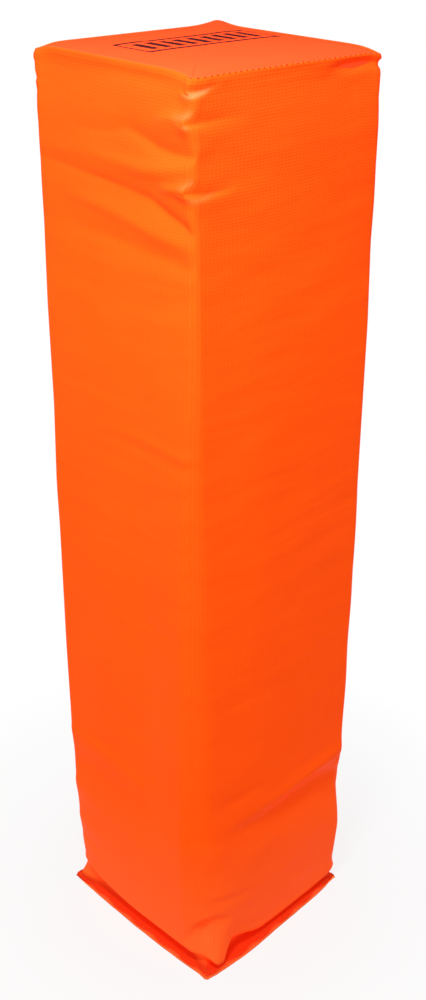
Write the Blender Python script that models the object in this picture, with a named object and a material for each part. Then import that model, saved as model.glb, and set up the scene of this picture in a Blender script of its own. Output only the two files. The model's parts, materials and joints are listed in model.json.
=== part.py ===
"""Football field pylon: a soft, weighted block pylon in a sewn cover.

The cover is one wall sheet folded round the four sides, a top panel and a bottom panel. The wall's
upright seam is at the back corner. The top is sewn inside out, so its allowances hang inside. The base
is closed last, from outside, as a flat flange. A foam core fills the cover and sits on a small bag of
sand.

Metres, +Z up, origin at the middle of the base. -Y is the front and the front upright edge is at -X -Y.
"""

from collections import namedtuple
from math import cos, exp, hypot, pi, radians, sin, sqrt

import bmesh
import bpy
from mathutils import Vector

# Overall size
SIDE = 0.1016
HEIGHT = 0.4572

# Cloth, clearances and seams
SHEET = 0.0006
GAP = 0.0003
CORNER_RADIUS = 0.004
SEAM_BEND = 0.0018
TOP_ALLOWANCE = 0.008
SIDE_ALLOWANCE = 0.006
TOP_EDGE_RADIUS = 0.001
THREAD_RADIUS = 0.0002
TOP_STITCH_DROP = 0.0025
SIDE_STITCH_INSET = 0.0012

# The upright seam's allowances are trimmed to a small share of their width below and above these heights
TRIMMED_SHARE = 0.03
TRIM_LOW = (0.005, 0.015)
TRIM_HIGH_RUN = 0.007

# How far the flange stands out of the plain square, by the place along the wall from the front edge. The two
# back sides are the same as the sides that they lie opposite to.
FLANGE_REACHES = (
    (-0.1016, 0.0008), (-0.085, 0.0014), (-0.066, 0.0022), (-0.048, 0.0027), (-0.017, 0.0024), (0.0, 0.0013),
    (0.0065, 0.0034), (0.031, 0.0048), (0.055, 0.0040), (0.079, 0.0030), (0.092, 0.0025), (0.1016, 0.0006),
)
FLANGE_LAND = 0.0022
LAND_RISE = 0.0002
CREASE_DEPTH = 0.0028
CREASE_SHARE = 0.35
ROLL_DEPTH = 0.0006
ROLL_RISE = 0.005
FLANGE_POINT = 0.0008
FLANGE_CORNER = 0.0015
THREAD_INSET = 0.0011

# How the filled cover bulges, twists and leans
BELLY = 0.0020
BELLY_POWER = 10
CROWN = 0.0012
CROWN_POWER = 6
TOP_CROWN = 0.0010
EAR = 0.0009
EAR_REACH = 0.009
LOW_ROUNDING = 0.0010
LOW_ROUND_TOP = 0.110
TWIST = radians(3.9)
CORNER_DROPS = {"back": 0.0, "left": 0.0023, "right": 0.0027, "front": 0.0012}
DROP_REACH = 0.075

# Ballast
BAG_SIDE = 0.084
BAG_SHEET = 0.0004
BAG_HEIGHT = 0.040
BAG_SEAM_HEIGHT = 0.017
BAG_MARGIN = 0.003
BAG_CORNER = 0.010
FOAM_EDGE = 0.005
# A bag square from its seam to its middle: share of the half width, then share of the rise. The second and
# the third point draw in with the square's own edge share.
BAG_SIDE_POINT = (0.985, 0.45)
BAG_EDGE_RISES = (0.83, 0.97)
BAG_EDGE_STEP = 0.16
BAG_FLAT_SHARES = (0.45, 0.10)
BAG_LOWER_EDGE = 0.93
BAG_UPPER_EDGE = 0.86
BAG_WALL_SHARE = 1.5

# Folds near the top: along the wall from the front edge, then drop below the top seam, both for the shallow
# and the deep end, then the deep end's depth and the fold's half width. Negative lengths are on the left.
TOP_FOLDS = (
    ((0.024, 0.0150), (-0.004, 0.0172), 0.0022, 0.0045),
    ((-0.040, 0.0170), (-0.001, 0.0292), 0.0034, 0.0065),
    ((0.028, 0.0440), (-0.004, 0.0412), 0.0026, 0.0045),
    ((-0.085, 0.0420), (-0.027, 0.0465), 0.0020, 0.0080),
    ((-0.027, 0.0465), (-0.003, 0.0590), 0.0032, 0.0070),
    ((-0.070, 0.0600), (-0.006, 0.0740), 0.0022, 0.0080),
)
TOP_RIDGES = (
    ((-0.060, 0.0280), (-0.004, 0.0350), 0.0018, 0.0060),
    ((-0.055, 0.0520), (-0.004, 0.0500), 0.0014, 0.0060),
)
# Folds near the base, with heights above the base instead of drops
LOW_FOLDS = (
    ((0.030, 0.0870), (0.101, 0.0910), 0.0016, 0.0060),
    ((0.060, 0.0760), (0.103, 0.0700), 0.0018, 0.0080),
)
LOW_RIDGES = (
    ((-0.020, 0.0300), (0.022, 0.0300), 0.0016, 0.0080),
    ((0.060, 0.0560), (0.103, 0.0520), 0.0014, 0.0080),
    ((-0.040, 0.0920), (-0.098, 0.1100), 0.0008, 0.0060),
)
FOLD_GROWTH = 0.7
FOLDS_START = (0.010, 0.024)
# Height at which the body rolls over the flange, along the wall from the front edge. The low place just right
# of the front edge is the corner pleat.
ROLL_HEIGHTS = (
    (-0.200, 0.0100), (-0.096, 0.0130), (-0.060, 0.0105), (-0.004, 0.0120), (0.012, 0.0056),
    (0.024, 0.0115), (0.045, 0.0090), (0.080, 0.0056), (0.104, 0.0056), (0.200, 0.0100),
)
PLEAT_PLACE = 0.010
PLEAT_WIDTH = 0.007
PLEAT_REACH = 0.0016
PLEAT_SHARE = 0.7

# Where the grid's rows and columns lie
LOW_ROWS = (0.030, 0.052, 0.070, 0.088, 0.104)
MID_ROWS = 2
TOP_ROWS = (0.074, 0.059, 0.050, 0.041, 0.035, 0.029, 0.023, 0.017)
LEFT_COLUMNS = (0.445, 0.722, 0.904)
FRONT_COLUMNS = (0.085, 0.215, 0.62)
BACK_COLUMNS = (0.5,)
TOP_SHARES = (0.10, 0.35, 0.62, 0.86)

# Worked out from the sizes above
HALF = SIDE / 2
FOLD_RADIUS = SHEET + GAP / 2
LEDGE_HEIGHT = HEIGHT - FOLD_RADIUS - TOP_ALLOWANCE - GAP
ALLOWANCE_END = LEDGE_HEIGHT + GAP
LIP_DEPTH = 2 * (SHEET + GAP)
THREAD_ROOM = 2 * THREAD_RADIUS + GAP
HEM_TOP = GAP + 2 * SHEET
BAG_BOTTOM = SHEET + GAP
BAG_TOP = BAG_BOTTOM + BAG_HEIGHT
FOAM_BOTTOM = BAG_TOP + GAP
SEAM_REACH = (sqrt(2) + 1) * SEAM_BEND + GAP / 2
HALF_BEND = 1 - sqrt(0.5)
BAG_WALL = BAG_SHEET * BAG_WALL_SHARE

Station = namedtuple("Station", "point normal push along across corner seam")


def blend(value, low, high):
    """Smooth step from 0 at low to 1 at high."""
    t = min(max((value - low) / (high - low), 0.0), 1.0)
    return t * t * (3 - 2 * t)


def interpolate(points, value):
    """Read a list of (place, height) points, straight from one to the next."""
    if value <= points[0][0]:
        return points[0][1]
    for (x0, y0), (x1, y1) in zip(points, points[1:]):
        if value <= x1:
            return y0 + (y1 - y0) * (value - x0) / (x1 - x0)
    return points[-1][1]


# Plan of the wall, seen from above

def arc_stations(centre, radius, start, sweep, steps, push, seam):
    """Stations round a bend. All of them move out together along push, so the bend keeps its radius."""
    stations = []
    for step in range(steps + 1):
        angle = start + sweep * step / steps
        normal = Vector((cos(angle), sin(angle)))
        middle = not seam and step == steps // 2
        stations.append(Station(centre + normal * radius, normal, push, 0.0, 1.0, middle, seam))
    return stations


def face_stations(start, end, fractions):
    """Stations between two bends, on a straight face."""
    stations = []
    normal = start.normal.copy()
    for fraction in fractions:
        point = start.point.lerp(end.point, fraction)
        stations.append(Station(point, normal, normal, 0.0, 2 * fraction - 1, False, False))
    return stations


def measure_along(stations):
    """Give each station its distance along the wall from the front edge, as if the corners were sharp."""
    lengths = [0.0]
    for before, after in zip(stations, stations[1:]):
        step = after.point - before.point
        lengths.append(lengths[-1] + abs(step.x) + abs(step.y))
    front = next(i for i, s in enumerate(stations) if s.corner and s.point.x < 0 and s.point.y < 0)
    return [s._replace(along=length - lengths[front]) for s, length in zip(stations, lengths)]


def plan(first_bend, last_bend):
    """Go round the wall against the clock, from the back corner's one side to its other."""
    inner = HALF - CORNER_RADIUS
    corners = []
    for sign_x, sign_y, start in ((-1, 1, 90), (-1, -1, 180), (1, -1, 270)):
        centre = Vector((sign_x * inner, sign_y * inner))
        push = Vector((sign_x, sign_y))
        corners.append(arc_stations(centre, CORNER_RADIUS, radians(start), pi / 2, 2, push, False))
    bends = [first_bend] + corners + [last_bend]
    columns = (BACK_COLUMNS, LEFT_COLUMNS, FRONT_COLUMNS, BACK_COLUMNS)
    stations = list(first_bend)
    for before, after, fractions in zip(bends, bends[1:], columns):
        stations += face_stations(before[-1], after[0], fractions)
        stations += after
    return measure_along(stations)


def sewn_plan():
    """The wall's own path: at the back corner both ends turn inwards, side by side, as seam allowances."""
    offset = SEAM_BEND + sqrt(2) * (SEAM_BEND + GAP / 2)
    out = Vector((1.0, 1.0))
    first_centre = Vector((HALF - offset, HALF - SEAM_BEND))
    last_centre = Vector((HALF - SEAM_BEND, HALF - offset))
    first = arc_stations(first_centre, SEAM_BEND, -pi / 4, 3 * pi / 4, 2, out, True)
    last = arc_stations(last_centre, SEAM_BEND, 0.0, 3 * pi / 4, 2, out, True)
    first.insert(0, first[0])
    last.append(last[-1])
    return plan(first, last)


def back_round(depth, allowance):
    """Corner radius that clears the upright seam's allowances at a depth under the wall's face."""
    return (SEAM_REACH + allowance + 2 * GAP - depth) / (sqrt(2) - 1)


def closed_plan(radius):
    """The same path with a plain rounded back corner, for pieces that lie inside the seam."""
    centre = Vector((HALF - radius, HALF - radius))
    out = Vector((1.0, 1.0))
    first = arc_stations(centre, radius, radians(50), radians(40), 3, out, True)
    last = arc_stations(centre, radius, 0.0, radians(40), 3, out, True)
    return plan(first, last)


# Bulges and folds, as a distance out of the plain wall

def fold(along, height, shallow, deep, width):
    """Depth of one fold, as a share of its deep end: it grows towards that end and fades to both sides."""
    run = (deep[0] - shallow[0], deep[1] - shallow[1])
    offset = (along - shallow[0], height - shallow[1])
    share = (offset[0] * run[0] + offset[1] * run[1]) / (run[0] ** 2 + run[1] ** 2)
    share = min(max(share, 0.0), 1.0)
    distance = hypot(offset[0] - share * run[0], offset[1] - share * run[1])
    return share ** FOLD_GROWTH * exp(-(distance / width) ** 2)


def folds(along, height):
    """All folds at one place on the wall."""
    drop = HEIGHT - height
    total = 0.0
    for sign, group, level in ((-1, TOP_FOLDS, drop), (1, TOP_RIDGES, drop),
                               (-1, LOW_FOLDS, height), (1, LOW_RIDGES, height)):
        for shallow, deep, depth, width in group:
            total += sign * depth * fold(along, level, shallow, deep, width)
    return total


def relief(station, height):
    """How far the filled cover stands out of the plain square at one place."""
    from_middle = min(abs(2 * height / HEIGHT - 1), 1.0)
    bulge = BELLY * (1 - from_middle ** BELLY_POWER)
    crown = CROWN * (1 - station.across ** 2) * (1 - from_middle ** CROWN_POWER)
    return bulge + crown + blend(height, *FOLDS_START) * folds(station.along, height)


def flange_reach(along):
    """How far the flange stands out at one place along the wall."""
    if abs(along) > SIDE:
        along = (SIDE - abs(along)) * (1 if along > 0 else -1)
    return interpolate(FLANGE_REACHES, along)


def ear(height):
    """How far the corners stand out: the flange's points at the base and the small ears at the top seam.

    Over the ballast the sand draws them in, so they are rounder there.
    """
    top = EAR * exp(-((HEIGHT - height) / EAR_REACH) ** 2)
    base = FLANGE_POINT * (1 - blend(height, HEM_TOP, HEM_TOP + CREASE_DEPTH))
    low = blend(height, HEM_TOP, HEM_TOP + ROLL_RISE) * blend(height, LOW_ROUND_TOP, FOAM_BOTTOM)
    return top + base - LOW_ROUNDING * low


def allowance(height):
    """Width of the upright seam's allowances, which are trimmed away at both ends."""
    low = blend(height, *TRIM_LOW)
    high = blend(height, LEDGE_HEIGHT, LEDGE_HEIGHT - TRIM_HIGH_RUN)
    return SIDE_ALLOWANCE * max(low * high, TRIMMED_SHARE)


def settle(point):
    """Let the plain upright shape twist about its axis and its top corners sink to their own heights."""
    u = min(max(point.x / SIDE + 0.5, 0.0), 1.0)
    v = min(max(point.y / SIDE + 0.5, 0.0), 1.0)
    drop = (CORNER_DROPS["front"] * (1 - u) * (1 - v) + CORNER_DROPS["right"] * u * (1 - v)
            + CORNER_DROPS["left"] * (1 - u) * v + CORNER_DROPS["back"] * u * v)
    angle = TWIST * (0.5 - point.z / HEIGHT)
    return Vector((
        point.x * cos(angle) - point.y * sin(angle),
        point.x * sin(angle) + point.y * cos(angle),
        point.z - drop * blend(point.z, HEIGHT - DROP_REACH, HEIGHT),
    ))


def place(station, out, along_normal, height, extra_allowance=0.0):
    """One point: out moves the wall as a whole, along_normal goes through its thickness."""
    spot = station.point + station.push * (out + (ear(height) if station.corner else 0.0))
    if station.across == 1.0 and extra_allowance:
        spot -= Vector((1.0, 1.0)).normalized() * extra_allowance
    spot += station.normal * along_normal
    return settle(Vector((spot.x, spot.y, height)))


# Meshes

def new_object(name, vertices, faces, material):
    """Turn points and faces into one closed object whose faces point out."""
    mesh = bpy.data.meshes.new(name)
    mesh.from_pydata(vertices, [], faces)
    work = bmesh.new()
    work.from_mesh(mesh)
    bmesh.ops.recalc_face_normals(work, faces=work.faces)
    work.to_mesh(mesh)
    work.free()
    mesh.shade_smooth()
    mesh.set_sharp_from_angle(angle=radians(60))
    mesh.materials.append(material)
    thing = bpy.data.objects.new(name, mesh)
    bpy.context.scene.collection.objects.link(thing)
    return thing


def split(a, b, c, d):
    """Two triangles for a four-sided cell, always along the same diagonal, so neighbouring skins match."""
    return [(a, b, c), (a, c, d)]


def sheet_object(name, outer, inner, material):
    """A sheet with four edges, from its outer and its inner grid of rows and columns."""
    rows = len(outer)
    columns = len(outer[0])
    vertices = [p for row in outer for p in row] + [p for row in inner for p in row]

    def at(side, row, column):
        return (side * rows + row) * columns + column

    faces = []
    for row in range(rows - 1):
        for column in range(columns - 1):
            corners = [(row, column), (row, column + 1), (row + 1, column + 1), (row + 1, column)]
            faces += split(*[at(0, r, c) for r, c in corners])
            faces += [tuple(reversed(face)) for face in split(*[at(1, r, c) for r, c in corners])]
    for column in range(columns - 1):
        after = column + 1
        for row in (0, rows - 1):
            faces += split(at(0, row, column), at(1, row, column), at(1, row, after), at(0, row, after))
    for row in range(rows - 1):
        above = row + 1
        for column in (0, columns - 1):
            faces += split(at(0, row, column), at(0, above, column), at(1, above, column), at(1, row, column))
    return new_object(name, vertices, faces, material)


def stack_object(name, rings, material, looped=False):
    """A solid from rings of points: flat faces close the first and last ring, or they join into a loop."""
    count = len(rings[0])
    vertices = [p for ring in rings for p in ring]
    faces = []
    pairs = list(zip(range(len(rings)), range(1, len(rings))))
    if looped:
        pairs.append((len(rings) - 1, 0))
    for first, second in pairs:
        for i in range(count):
            j = (i + 1) % count
            faces += split(first * count + i, first * count + j, second * count + j, second * count + i)
    if not looped:
        last = (len(rings) - 1) * count
        faces.append(tuple(reversed(range(count))))
        faces.append(tuple(range(last, last + count)))
    return new_object(name, vertices, faces, material)


def thicken(profile, thickness):
    """Move a profile of (out, height) points to its other face. Its outer face is on the right as it runs."""
    moved = []
    for i, (out, height) in enumerate(profile):
        before = profile[max(i - 1, 0)]
        after = profile[min(i + 1, len(profile) - 1)]
        normals = []
        for (x0, y0), (x1, y1) in ((before, (out, height)), ((out, height), after)):
            length = hypot(x1 - x0, y1 - y0)
            if length > 0:
                normals.append(Vector(((y1 - y0) / length, -(x1 - x0) / length)))
        mean = (normals[0] + normals[-1]).normalized()
        reach = thickness / max(mean.dot(normals[0]), 0.5)
        moved.append((out - mean.x * reach, height - mean.y * reach))
    return moved


# Cover

def row_heights():
    """Heights of the wall's rows between the roll over the flange and the top seam."""
    low = LOW_ROWS[-1]
    high = HEIGHT - TOP_ROWS[0]
    middle = [low + (high - low) * (i + 1) / (MID_ROWS + 1) for i in range(MID_ROWS)]
    return list(LOW_ROWS) + middle + [HEIGHT - drop for drop in TOP_ROWS] + [LEDGE_HEIGHT]


def wall_profile(station):
    """The wall's outer face at one station, from the flange's edge up and over the top seam.

    Each row is how far the wall moves out, how deep it lies under that place, and its height.
    """
    reach = flange_reach(station.along)
    roll = interpolate(ROLL_HEIGHTS, station.along)
    pleat = PLEAT_REACH * exp(-((station.along - PLEAT_PLACE) / PLEAT_WIDTH) ** 2)
    rows = [
        (reach, 0.0, HEM_TOP),
        (reach - FLANGE_LAND, 0.0, HEM_TOP + LAND_RISE),
        (-CREASE_DEPTH, 0.0, HEM_TOP + CREASE_SHARE * roll),
        (pleat - ROLL_DEPTH, 0.0, roll),
        (pleat * PLEAT_SHARE + relief(station, roll + ROLL_RISE), 0.0, roll + ROLL_RISE),
    ]
    rows += [(relief(station, height), 0.0, height) for height in row_heights()]
    top = HEIGHT - FOLD_RADIUS
    edge = relief(station, top)
    rows.append((edge, 0.0, top))
    trimmed = station.seam and min(abs(station.normal.x), abs(station.normal.y)) > 0.01
    if trimmed:
        rows += [(edge, 0.0, top + FOLD_RADIUS * share) for share in (0.25, 0.5, 0.75)]
    else:
        rows += [
            (edge, FOLD_RADIUS, HEIGHT),
            (edge, 2 * FOLD_RADIUS, top),
            (relief(station, LEDGE_HEIGHT), 2 * FOLD_RADIUS, ALLOWANCE_END),
        ]
    return rows


def wall_wrap(material):
    """The one sheet round the four sides, with its hem, its turned-in ends and its folded top edge."""
    stations = sewn_plan()
    outer = []
    inner = []
    for i, station in enumerate(stations):
        profile = wall_profile(station)
        flat = [(out - depth, height) for out, depth, height in profile]
        tip = i in (0, len(stations) - 1)
        outer_column = []
        inner_column = []
        for (out, depth, height), (flat_in, height_in) in zip(profile, thicken(flat, SHEET)):
            width = allowance(height) if tip else 0.0
            outer_column.append(place(station, out, -depth, height, width))
            inner_column.append(place(station, out, flat_in - out, height_in, width))
        outer.append(outer_column)
        inner.append(inner_column)
    outer = [list(row) for row in zip(*outer)]
    inner = [list(row) for row in zip(*inner)]
    return sheet_object("wall_wrap", outer, inner, material)


def ring(stations, depth, height, share=1.0):
    """A closed ring under the wall's face; share draws it towards the middle."""
    points = []
    for station in stations:
        out = relief(station, min(height, HEIGHT))
        spot = station.point + station.push * (out + (ear(height) if station.corner else 0.0))
        spot -= station.normal * depth
        points.append(settle(Vector((spot.x * share, spot.y * share, height))))
    return points


def top_panel(material):
    """The square on top, crowned by the foam, with its edge turned down inside the wall's allowance."""
    stations = closed_plan(back_round(LIP_DEPTH, 0.0) + GAP)
    rings = []
    for side_depth, drop in ((0.0, 0.0), (SHEET, SHEET)):
        bend = TOP_EDGE_RADIUS - side_depth
        edge = LIP_DEPTH + side_depth
        inside = LIP_DEPTH + TOP_EDGE_RADIUS
        flat = [ring(stations, inside, HEIGHT - drop + TOP_CROWN * (1 - share ** 2), share)
                for share in TOP_SHARES]
        flat.append(ring(stations, inside, HEIGHT - drop))
        flat.append(ring(stations, edge + bend * HALF_BEND, HEIGHT - drop - bend * HALF_BEND))
        flat.append(ring(stations, edge, HEIGHT - TOP_EDGE_RADIUS))
        flat.append(ring(stations, edge, ALLOWANCE_END))
        rings += flat if side_depth == 0.0 else list(reversed(flat))
    return stack_object("top_panel", rings, material)


def bottom_panel(material):
    """The flat square that the pylon stands on, as large as the flange."""
    stations = closed_plan(FLANGE_CORNER)
    rings = []
    for height in (0.0, SHEET):
        points = []
        for station in stations:
            sharpen = FLANGE_POINT if station.corner else 0.0
            spot = station.point + station.push * (flange_reach(station.along) + sharpen)
            points.append(settle(Vector((spot.x, spot.y, height))))
        rings.append(points)
    return stack_object("bottom_panel", rings, material)


# Filling

def foam_core(material):
    """The foam block: it fills the cover, is pressed in round the seams and sits on the ballast bag."""
    skin = SHEET + GAP
    sewn = sewn_plan()
    under = closed_plan(back_round(skin + FOAM_EDGE, SIDE_ALLOWANCE + SEAM_BEND))
    top = closed_plan(back_round(LIP_DEPTH, 0.0) + GAP)
    last = len(sewn) - 1

    def slotted(height):
        points = []
        for i, station in enumerate(sewn):
            width = allowance(height) + GAP if i in (0, last) else 0.0
            beside_thread = i in (0, 1)
            depth = skin + (THREAD_ROOM if beside_thread else 0.0)
            points.append(place(station, relief(station, height), -depth, height, width))
        return points

    top_depth = LIP_DEPTH + skin + THREAD_ROOM
    ceiling = HEIGHT - skin
    rings = [ring(under, skin + FOAM_EDGE, FOAM_BOTTOM)]
    rings += [slotted(height) for height in row_heights() if height > FOAM_BOTTOM + FOAM_EDGE]
    rings.append(ring(top, top_depth, LEDGE_HEIGHT))
    rings.append(ring(top, top_depth, ceiling - TOP_EDGE_RADIUS))
    rings.append(ring(top, top_depth + TOP_EDGE_RADIUS, ceiling))
    for share in reversed(TOP_SHARES):
        rings.append(ring(top, LIP_DEPTH + TOP_EDGE_RADIUS, ceiling + TOP_CROWN * (1 - share ** 2), share))
    return stack_object("foam_core", rings, material)


def bag_ring(half, height):
    """A rounded square of the ballast bag."""
    corner = BAG_CORNER * half / (BAG_SIDE / 2)
    points = []
    for quarter in range(4):
        start = quarter * pi / 2
        turn = Vector((cos(start + pi / 4), sin(start + pi / 4)))
        centre = Vector((turn.x, turn.y)) * sqrt(2) * (half - corner)
        for step in range(4):
            angle = start + step * pi / 6
            spot = Vector((centre.x + corner * cos(angle), centre.y + corner * sin(angle), height))
            points.append(settle(spot))
        middle_angle = start + pi / 2
        edge = Vector((cos(middle_angle), sin(middle_angle))) * half
        points.append(settle(Vector((edge.x, edge.y, height))))
    return points


def bag_half_profile(seam, far, edge_share):
    """From the seam's margin to the middle of one bag square, as (half width, height)."""
    half = BAG_SIDE / 2
    side = half - BAG_MARGIN
    rise = far - seam
    return [
        (half, seam),
        (side, seam),
        (side * BAG_SIDE_POINT[0], seam + rise * BAG_SIDE_POINT[1]),
        (side * edge_share, seam + rise * BAG_EDGE_RISES[0]),
        (side * (edge_share - BAG_EDGE_STEP), seam + rise * BAG_EDGE_RISES[1]),
        (side * BAG_FLAT_SHARES[0], far),
        (side * BAG_FLAT_SHARES[1], far),
    ]


def bag_panel(name, seam, far, edge_share, material):
    """One cloth square of the bag, drawn out by the sand; its outer face is given."""
    profile = bag_half_profile(seam, far, edge_share)
    inner = []
    for half, height in profile:
        inner.append((half, height - BAG_SHEET if far > seam else height + BAG_SHEET))
    for i in range(2, len(profile)):
        inner[i] = (profile[i][0] - BAG_WALL, inner[i][1])
    inner[1] = (profile[1][0] - BAG_WALL, inner[1][1])
    rings = [bag_ring(*point) for point in reversed(profile)] + [bag_ring(*point) for point in inner]
    return stack_object(name, rings, material)


def ballast(cloth, sand, thread):
    """The bag's two squares, sewn through their margins, and the sand in it."""
    seam = BAG_BOTTOM + BAG_SEAM_HEIGHT
    lower_seam = seam - GAP / 2 - BAG_SHEET
    upper_seam = seam + GAP / 2 + BAG_SHEET
    bag_panel("ballast_bag_lower", lower_seam, BAG_BOTTOM, BAG_LOWER_EDGE, cloth)
    bag_panel("ballast_bag_upper", upper_seam, BAG_TOP, BAG_UPPER_EDGE, cloth)
    rings = []
    lower = bag_half_profile(lower_seam, BAG_BOTTOM + BAG_SHEET + GAP, BAG_LOWER_EDGE)
    upper = bag_half_profile(upper_seam, BAG_TOP - BAG_SHEET - GAP, BAG_UPPER_EDGE)
    for half, height in list(reversed(lower[2:])) + upper[2:]:
        rings.append(bag_ring(half - BAG_WALL - GAP, height))
    stack_object("ballast_sand", rings, sand)
    margin = BAG_SIDE / 2 - BAG_MARGIN / 2
    height = upper_seam + GAP + THREAD_RADIUS
    tube_loop("ballast_seam_thread", lambda r, z: bag_ring(margin + r, height + z), thread)


# Stitching, as one run of thread for each seam

def tube_loop(name, ring_at, material, sides=6):
    """A closed tube; ring_at gives the loop moved out by r and up by z."""
    rings = []
    for i in range(sides):
        angle = 2 * pi * i / sides
        rings.append(ring_at(THREAD_RADIUS * cos(angle), THREAD_RADIUS * sin(angle)))
    return stack_object(name, rings, material, looped=True)


def flange_ring(out, height):
    """A ring over the flange, with the flange's own pointed corners."""
    points = []
    for station in closed_plan(FLANGE_CORNER):
        sharpen = FLANGE_POINT if station.corner else 0.0
        reach = flange_reach(station.along) - THREAD_INSET + sharpen
        spot = station.point + station.push * reach + station.normal * out
        points.append(settle(Vector((spot.x, spot.y, height))))
    return points


def base_seam_thread(material):
    """The stitching that closes the base, on top of the flange."""
    height = HEM_TOP + LAND_RISE + GAP + THREAD_RADIUS
    return tube_loop("base_seam_thread", lambda r, z: flange_ring(r, height + z), material)


def top_seam_thread(material):
    """The stitching of the top seam, where it shows on the bench: inside the turned-down lip."""
    stations = closed_plan(back_round(LIP_DEPTH, 0.0) + GAP)
    depth = LIP_DEPTH + SHEET + GAP + THREAD_RADIUS
    height = HEIGHT - TOP_STITCH_DROP
    return tube_loop("top_seam_thread", lambda r, z: ring(stations, depth - r, height + z), material)


def side_seam_thread(material, sides=6):
    """The stitching of the upright seam, beside its first allowance."""
    station = sewn_plan()[1]
    rings = []
    for height in row_heights()[:-2]:
        points = []
        for i in range(sides):
            angle = 2 * pi * i / sides
            depth = SHEET + GAP + THREAD_RADIUS * (1 + cos(angle))
            inset = SIDE_STITCH_INSET + THREAD_RADIUS * sin(angle)
            points.append(place(station, relief(station, height), -depth, height, inset))
        rings.append(points)
    return stack_object("side_seam_thread", rings, material)


def new_material(name, color, roughness):
    """A plain surface. Colours are linear."""
    material = bpy.data.materials.new(name)
    material.use_nodes = True
    shader = material.node_tree.nodes["Principled BSDF"]
    shader.inputs["Base Color"].default_value = (*color, 1.0)
    shader.inputs["Roughness"].default_value = roughness
    shader.inputs["Metallic"].default_value = 0.0
    return material


def main():
    for thing in list(bpy.data.objects):
        bpy.data.objects.remove(thing)
    vinyl = new_material("orange coated cloth", (0.95, 0.11, 0.012), 0.45)
    thread = new_material("orange thread", (0.80, 0.09, 0.012), 0.7)
    foam = new_material("grey foam", (0.32, 0.32, 0.33), 0.95)
    cotton = new_material("plain cotton", (0.62, 0.58, 0.50), 0.9)
    sand = new_material("dry sand", (0.48, 0.36, 0.22), 0.95)
    wall_wrap(vinyl)
    top_panel(vinyl)
    bottom_panel(vinyl)
    foam_core(foam)
    ballast(cotton, sand, thread)
    base_seam_thread(thread)
    top_seam_thread(thread)
    side_seam_thread(thread)


main()
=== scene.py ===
# %% [markdown]
# # A football field pylon
#
# The real thing is a block of foam in a sewn cover of orange coated cloth. One wall sheet is folded round
# the four sides, a square top panel is sewn in from the inside, and a square bottom panel is sewn on from
# outside, which leaves a flat flange round the base. A small bag of sand lies under the foam.
#
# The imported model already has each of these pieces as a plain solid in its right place. This lesson dresses
# them: it builds the same pieces again with a fine mesh, real folds, stitches and materials, and puts them
# in soft studio light.

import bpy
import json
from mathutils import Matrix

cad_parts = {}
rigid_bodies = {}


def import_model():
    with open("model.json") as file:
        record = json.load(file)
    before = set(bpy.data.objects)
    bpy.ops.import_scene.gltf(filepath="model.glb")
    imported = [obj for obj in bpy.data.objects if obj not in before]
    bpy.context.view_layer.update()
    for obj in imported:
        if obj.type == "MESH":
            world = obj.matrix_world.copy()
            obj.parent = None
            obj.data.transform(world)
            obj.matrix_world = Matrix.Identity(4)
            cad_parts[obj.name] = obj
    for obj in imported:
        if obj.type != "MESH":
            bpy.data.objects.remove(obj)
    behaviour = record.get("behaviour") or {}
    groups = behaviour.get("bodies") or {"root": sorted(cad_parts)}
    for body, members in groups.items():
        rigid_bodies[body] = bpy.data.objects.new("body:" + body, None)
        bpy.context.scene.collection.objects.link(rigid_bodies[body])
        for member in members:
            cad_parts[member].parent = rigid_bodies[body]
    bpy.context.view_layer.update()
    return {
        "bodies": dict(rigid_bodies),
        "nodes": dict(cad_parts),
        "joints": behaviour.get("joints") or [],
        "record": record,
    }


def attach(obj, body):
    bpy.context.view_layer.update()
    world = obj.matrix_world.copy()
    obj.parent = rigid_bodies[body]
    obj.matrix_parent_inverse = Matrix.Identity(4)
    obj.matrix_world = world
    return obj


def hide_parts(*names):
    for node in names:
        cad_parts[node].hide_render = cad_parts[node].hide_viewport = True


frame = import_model()

# %% Modules
import json
from math import cos, pi, radians, sin, sqrt

import bpy
import numpy as np
from mathutils import Matrix, Vector

# %% [markdown]
# Blender works in metres, but folds and stitches are easier to think about in millimetres. Sizes below are in
# millimetres unless a comment says otherwise, and `MM` turns them to metres where Blender takes them.

# %% Sizes of the real thing, in millimetres
MM = 0.001
SIDE = 101.6
HEIGHT = 457.2
HALF = SIDE / 2
SHEET = 0.6
# a sheet is modelled a hair thinner than it is, so that two layers never touch
SKIN = SHEET - 0.05
GAP = 0.3
CORNER_RADIUS = 4.0
SEAM_BEND = 1.8
TOP_ALLOWANCE = 8.0
SIDE_ALLOWANCE = 6.0
FOLD_RADIUS = SHEET + GAP / 2
HEM_TOP = GAP + 2 * SHEET
LIP_DEPTH = 2 * (SHEET + GAP)
LEDGE_HEIGHT = HEIGHT - FOLD_RADIUS - TOP_ALLOWANCE - GAP

# %% [markdown]
# ## The camera
#
# The photograph was taken from above and a little to the left of the front edge. The place, the turn and
# the focal length were worked out from the corners of the pylon, whose real size is known. It comes first,
# because every later step is looked at through it.

# %% Camera
LENS, SENSOR = 46.87, 36.0
CAMERA_PLACE = (-388.14, -413.16, 535.59)
YAW, PITCH, ROLL = radians(-43.51), radians(27.16), radians(0.27)


def put(name, data):
    """A new object in the scene."""
    thing = bpy.data.objects.new(name, data)
    bpy.context.scene.collection.objects.link(thing)
    return thing


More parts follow.
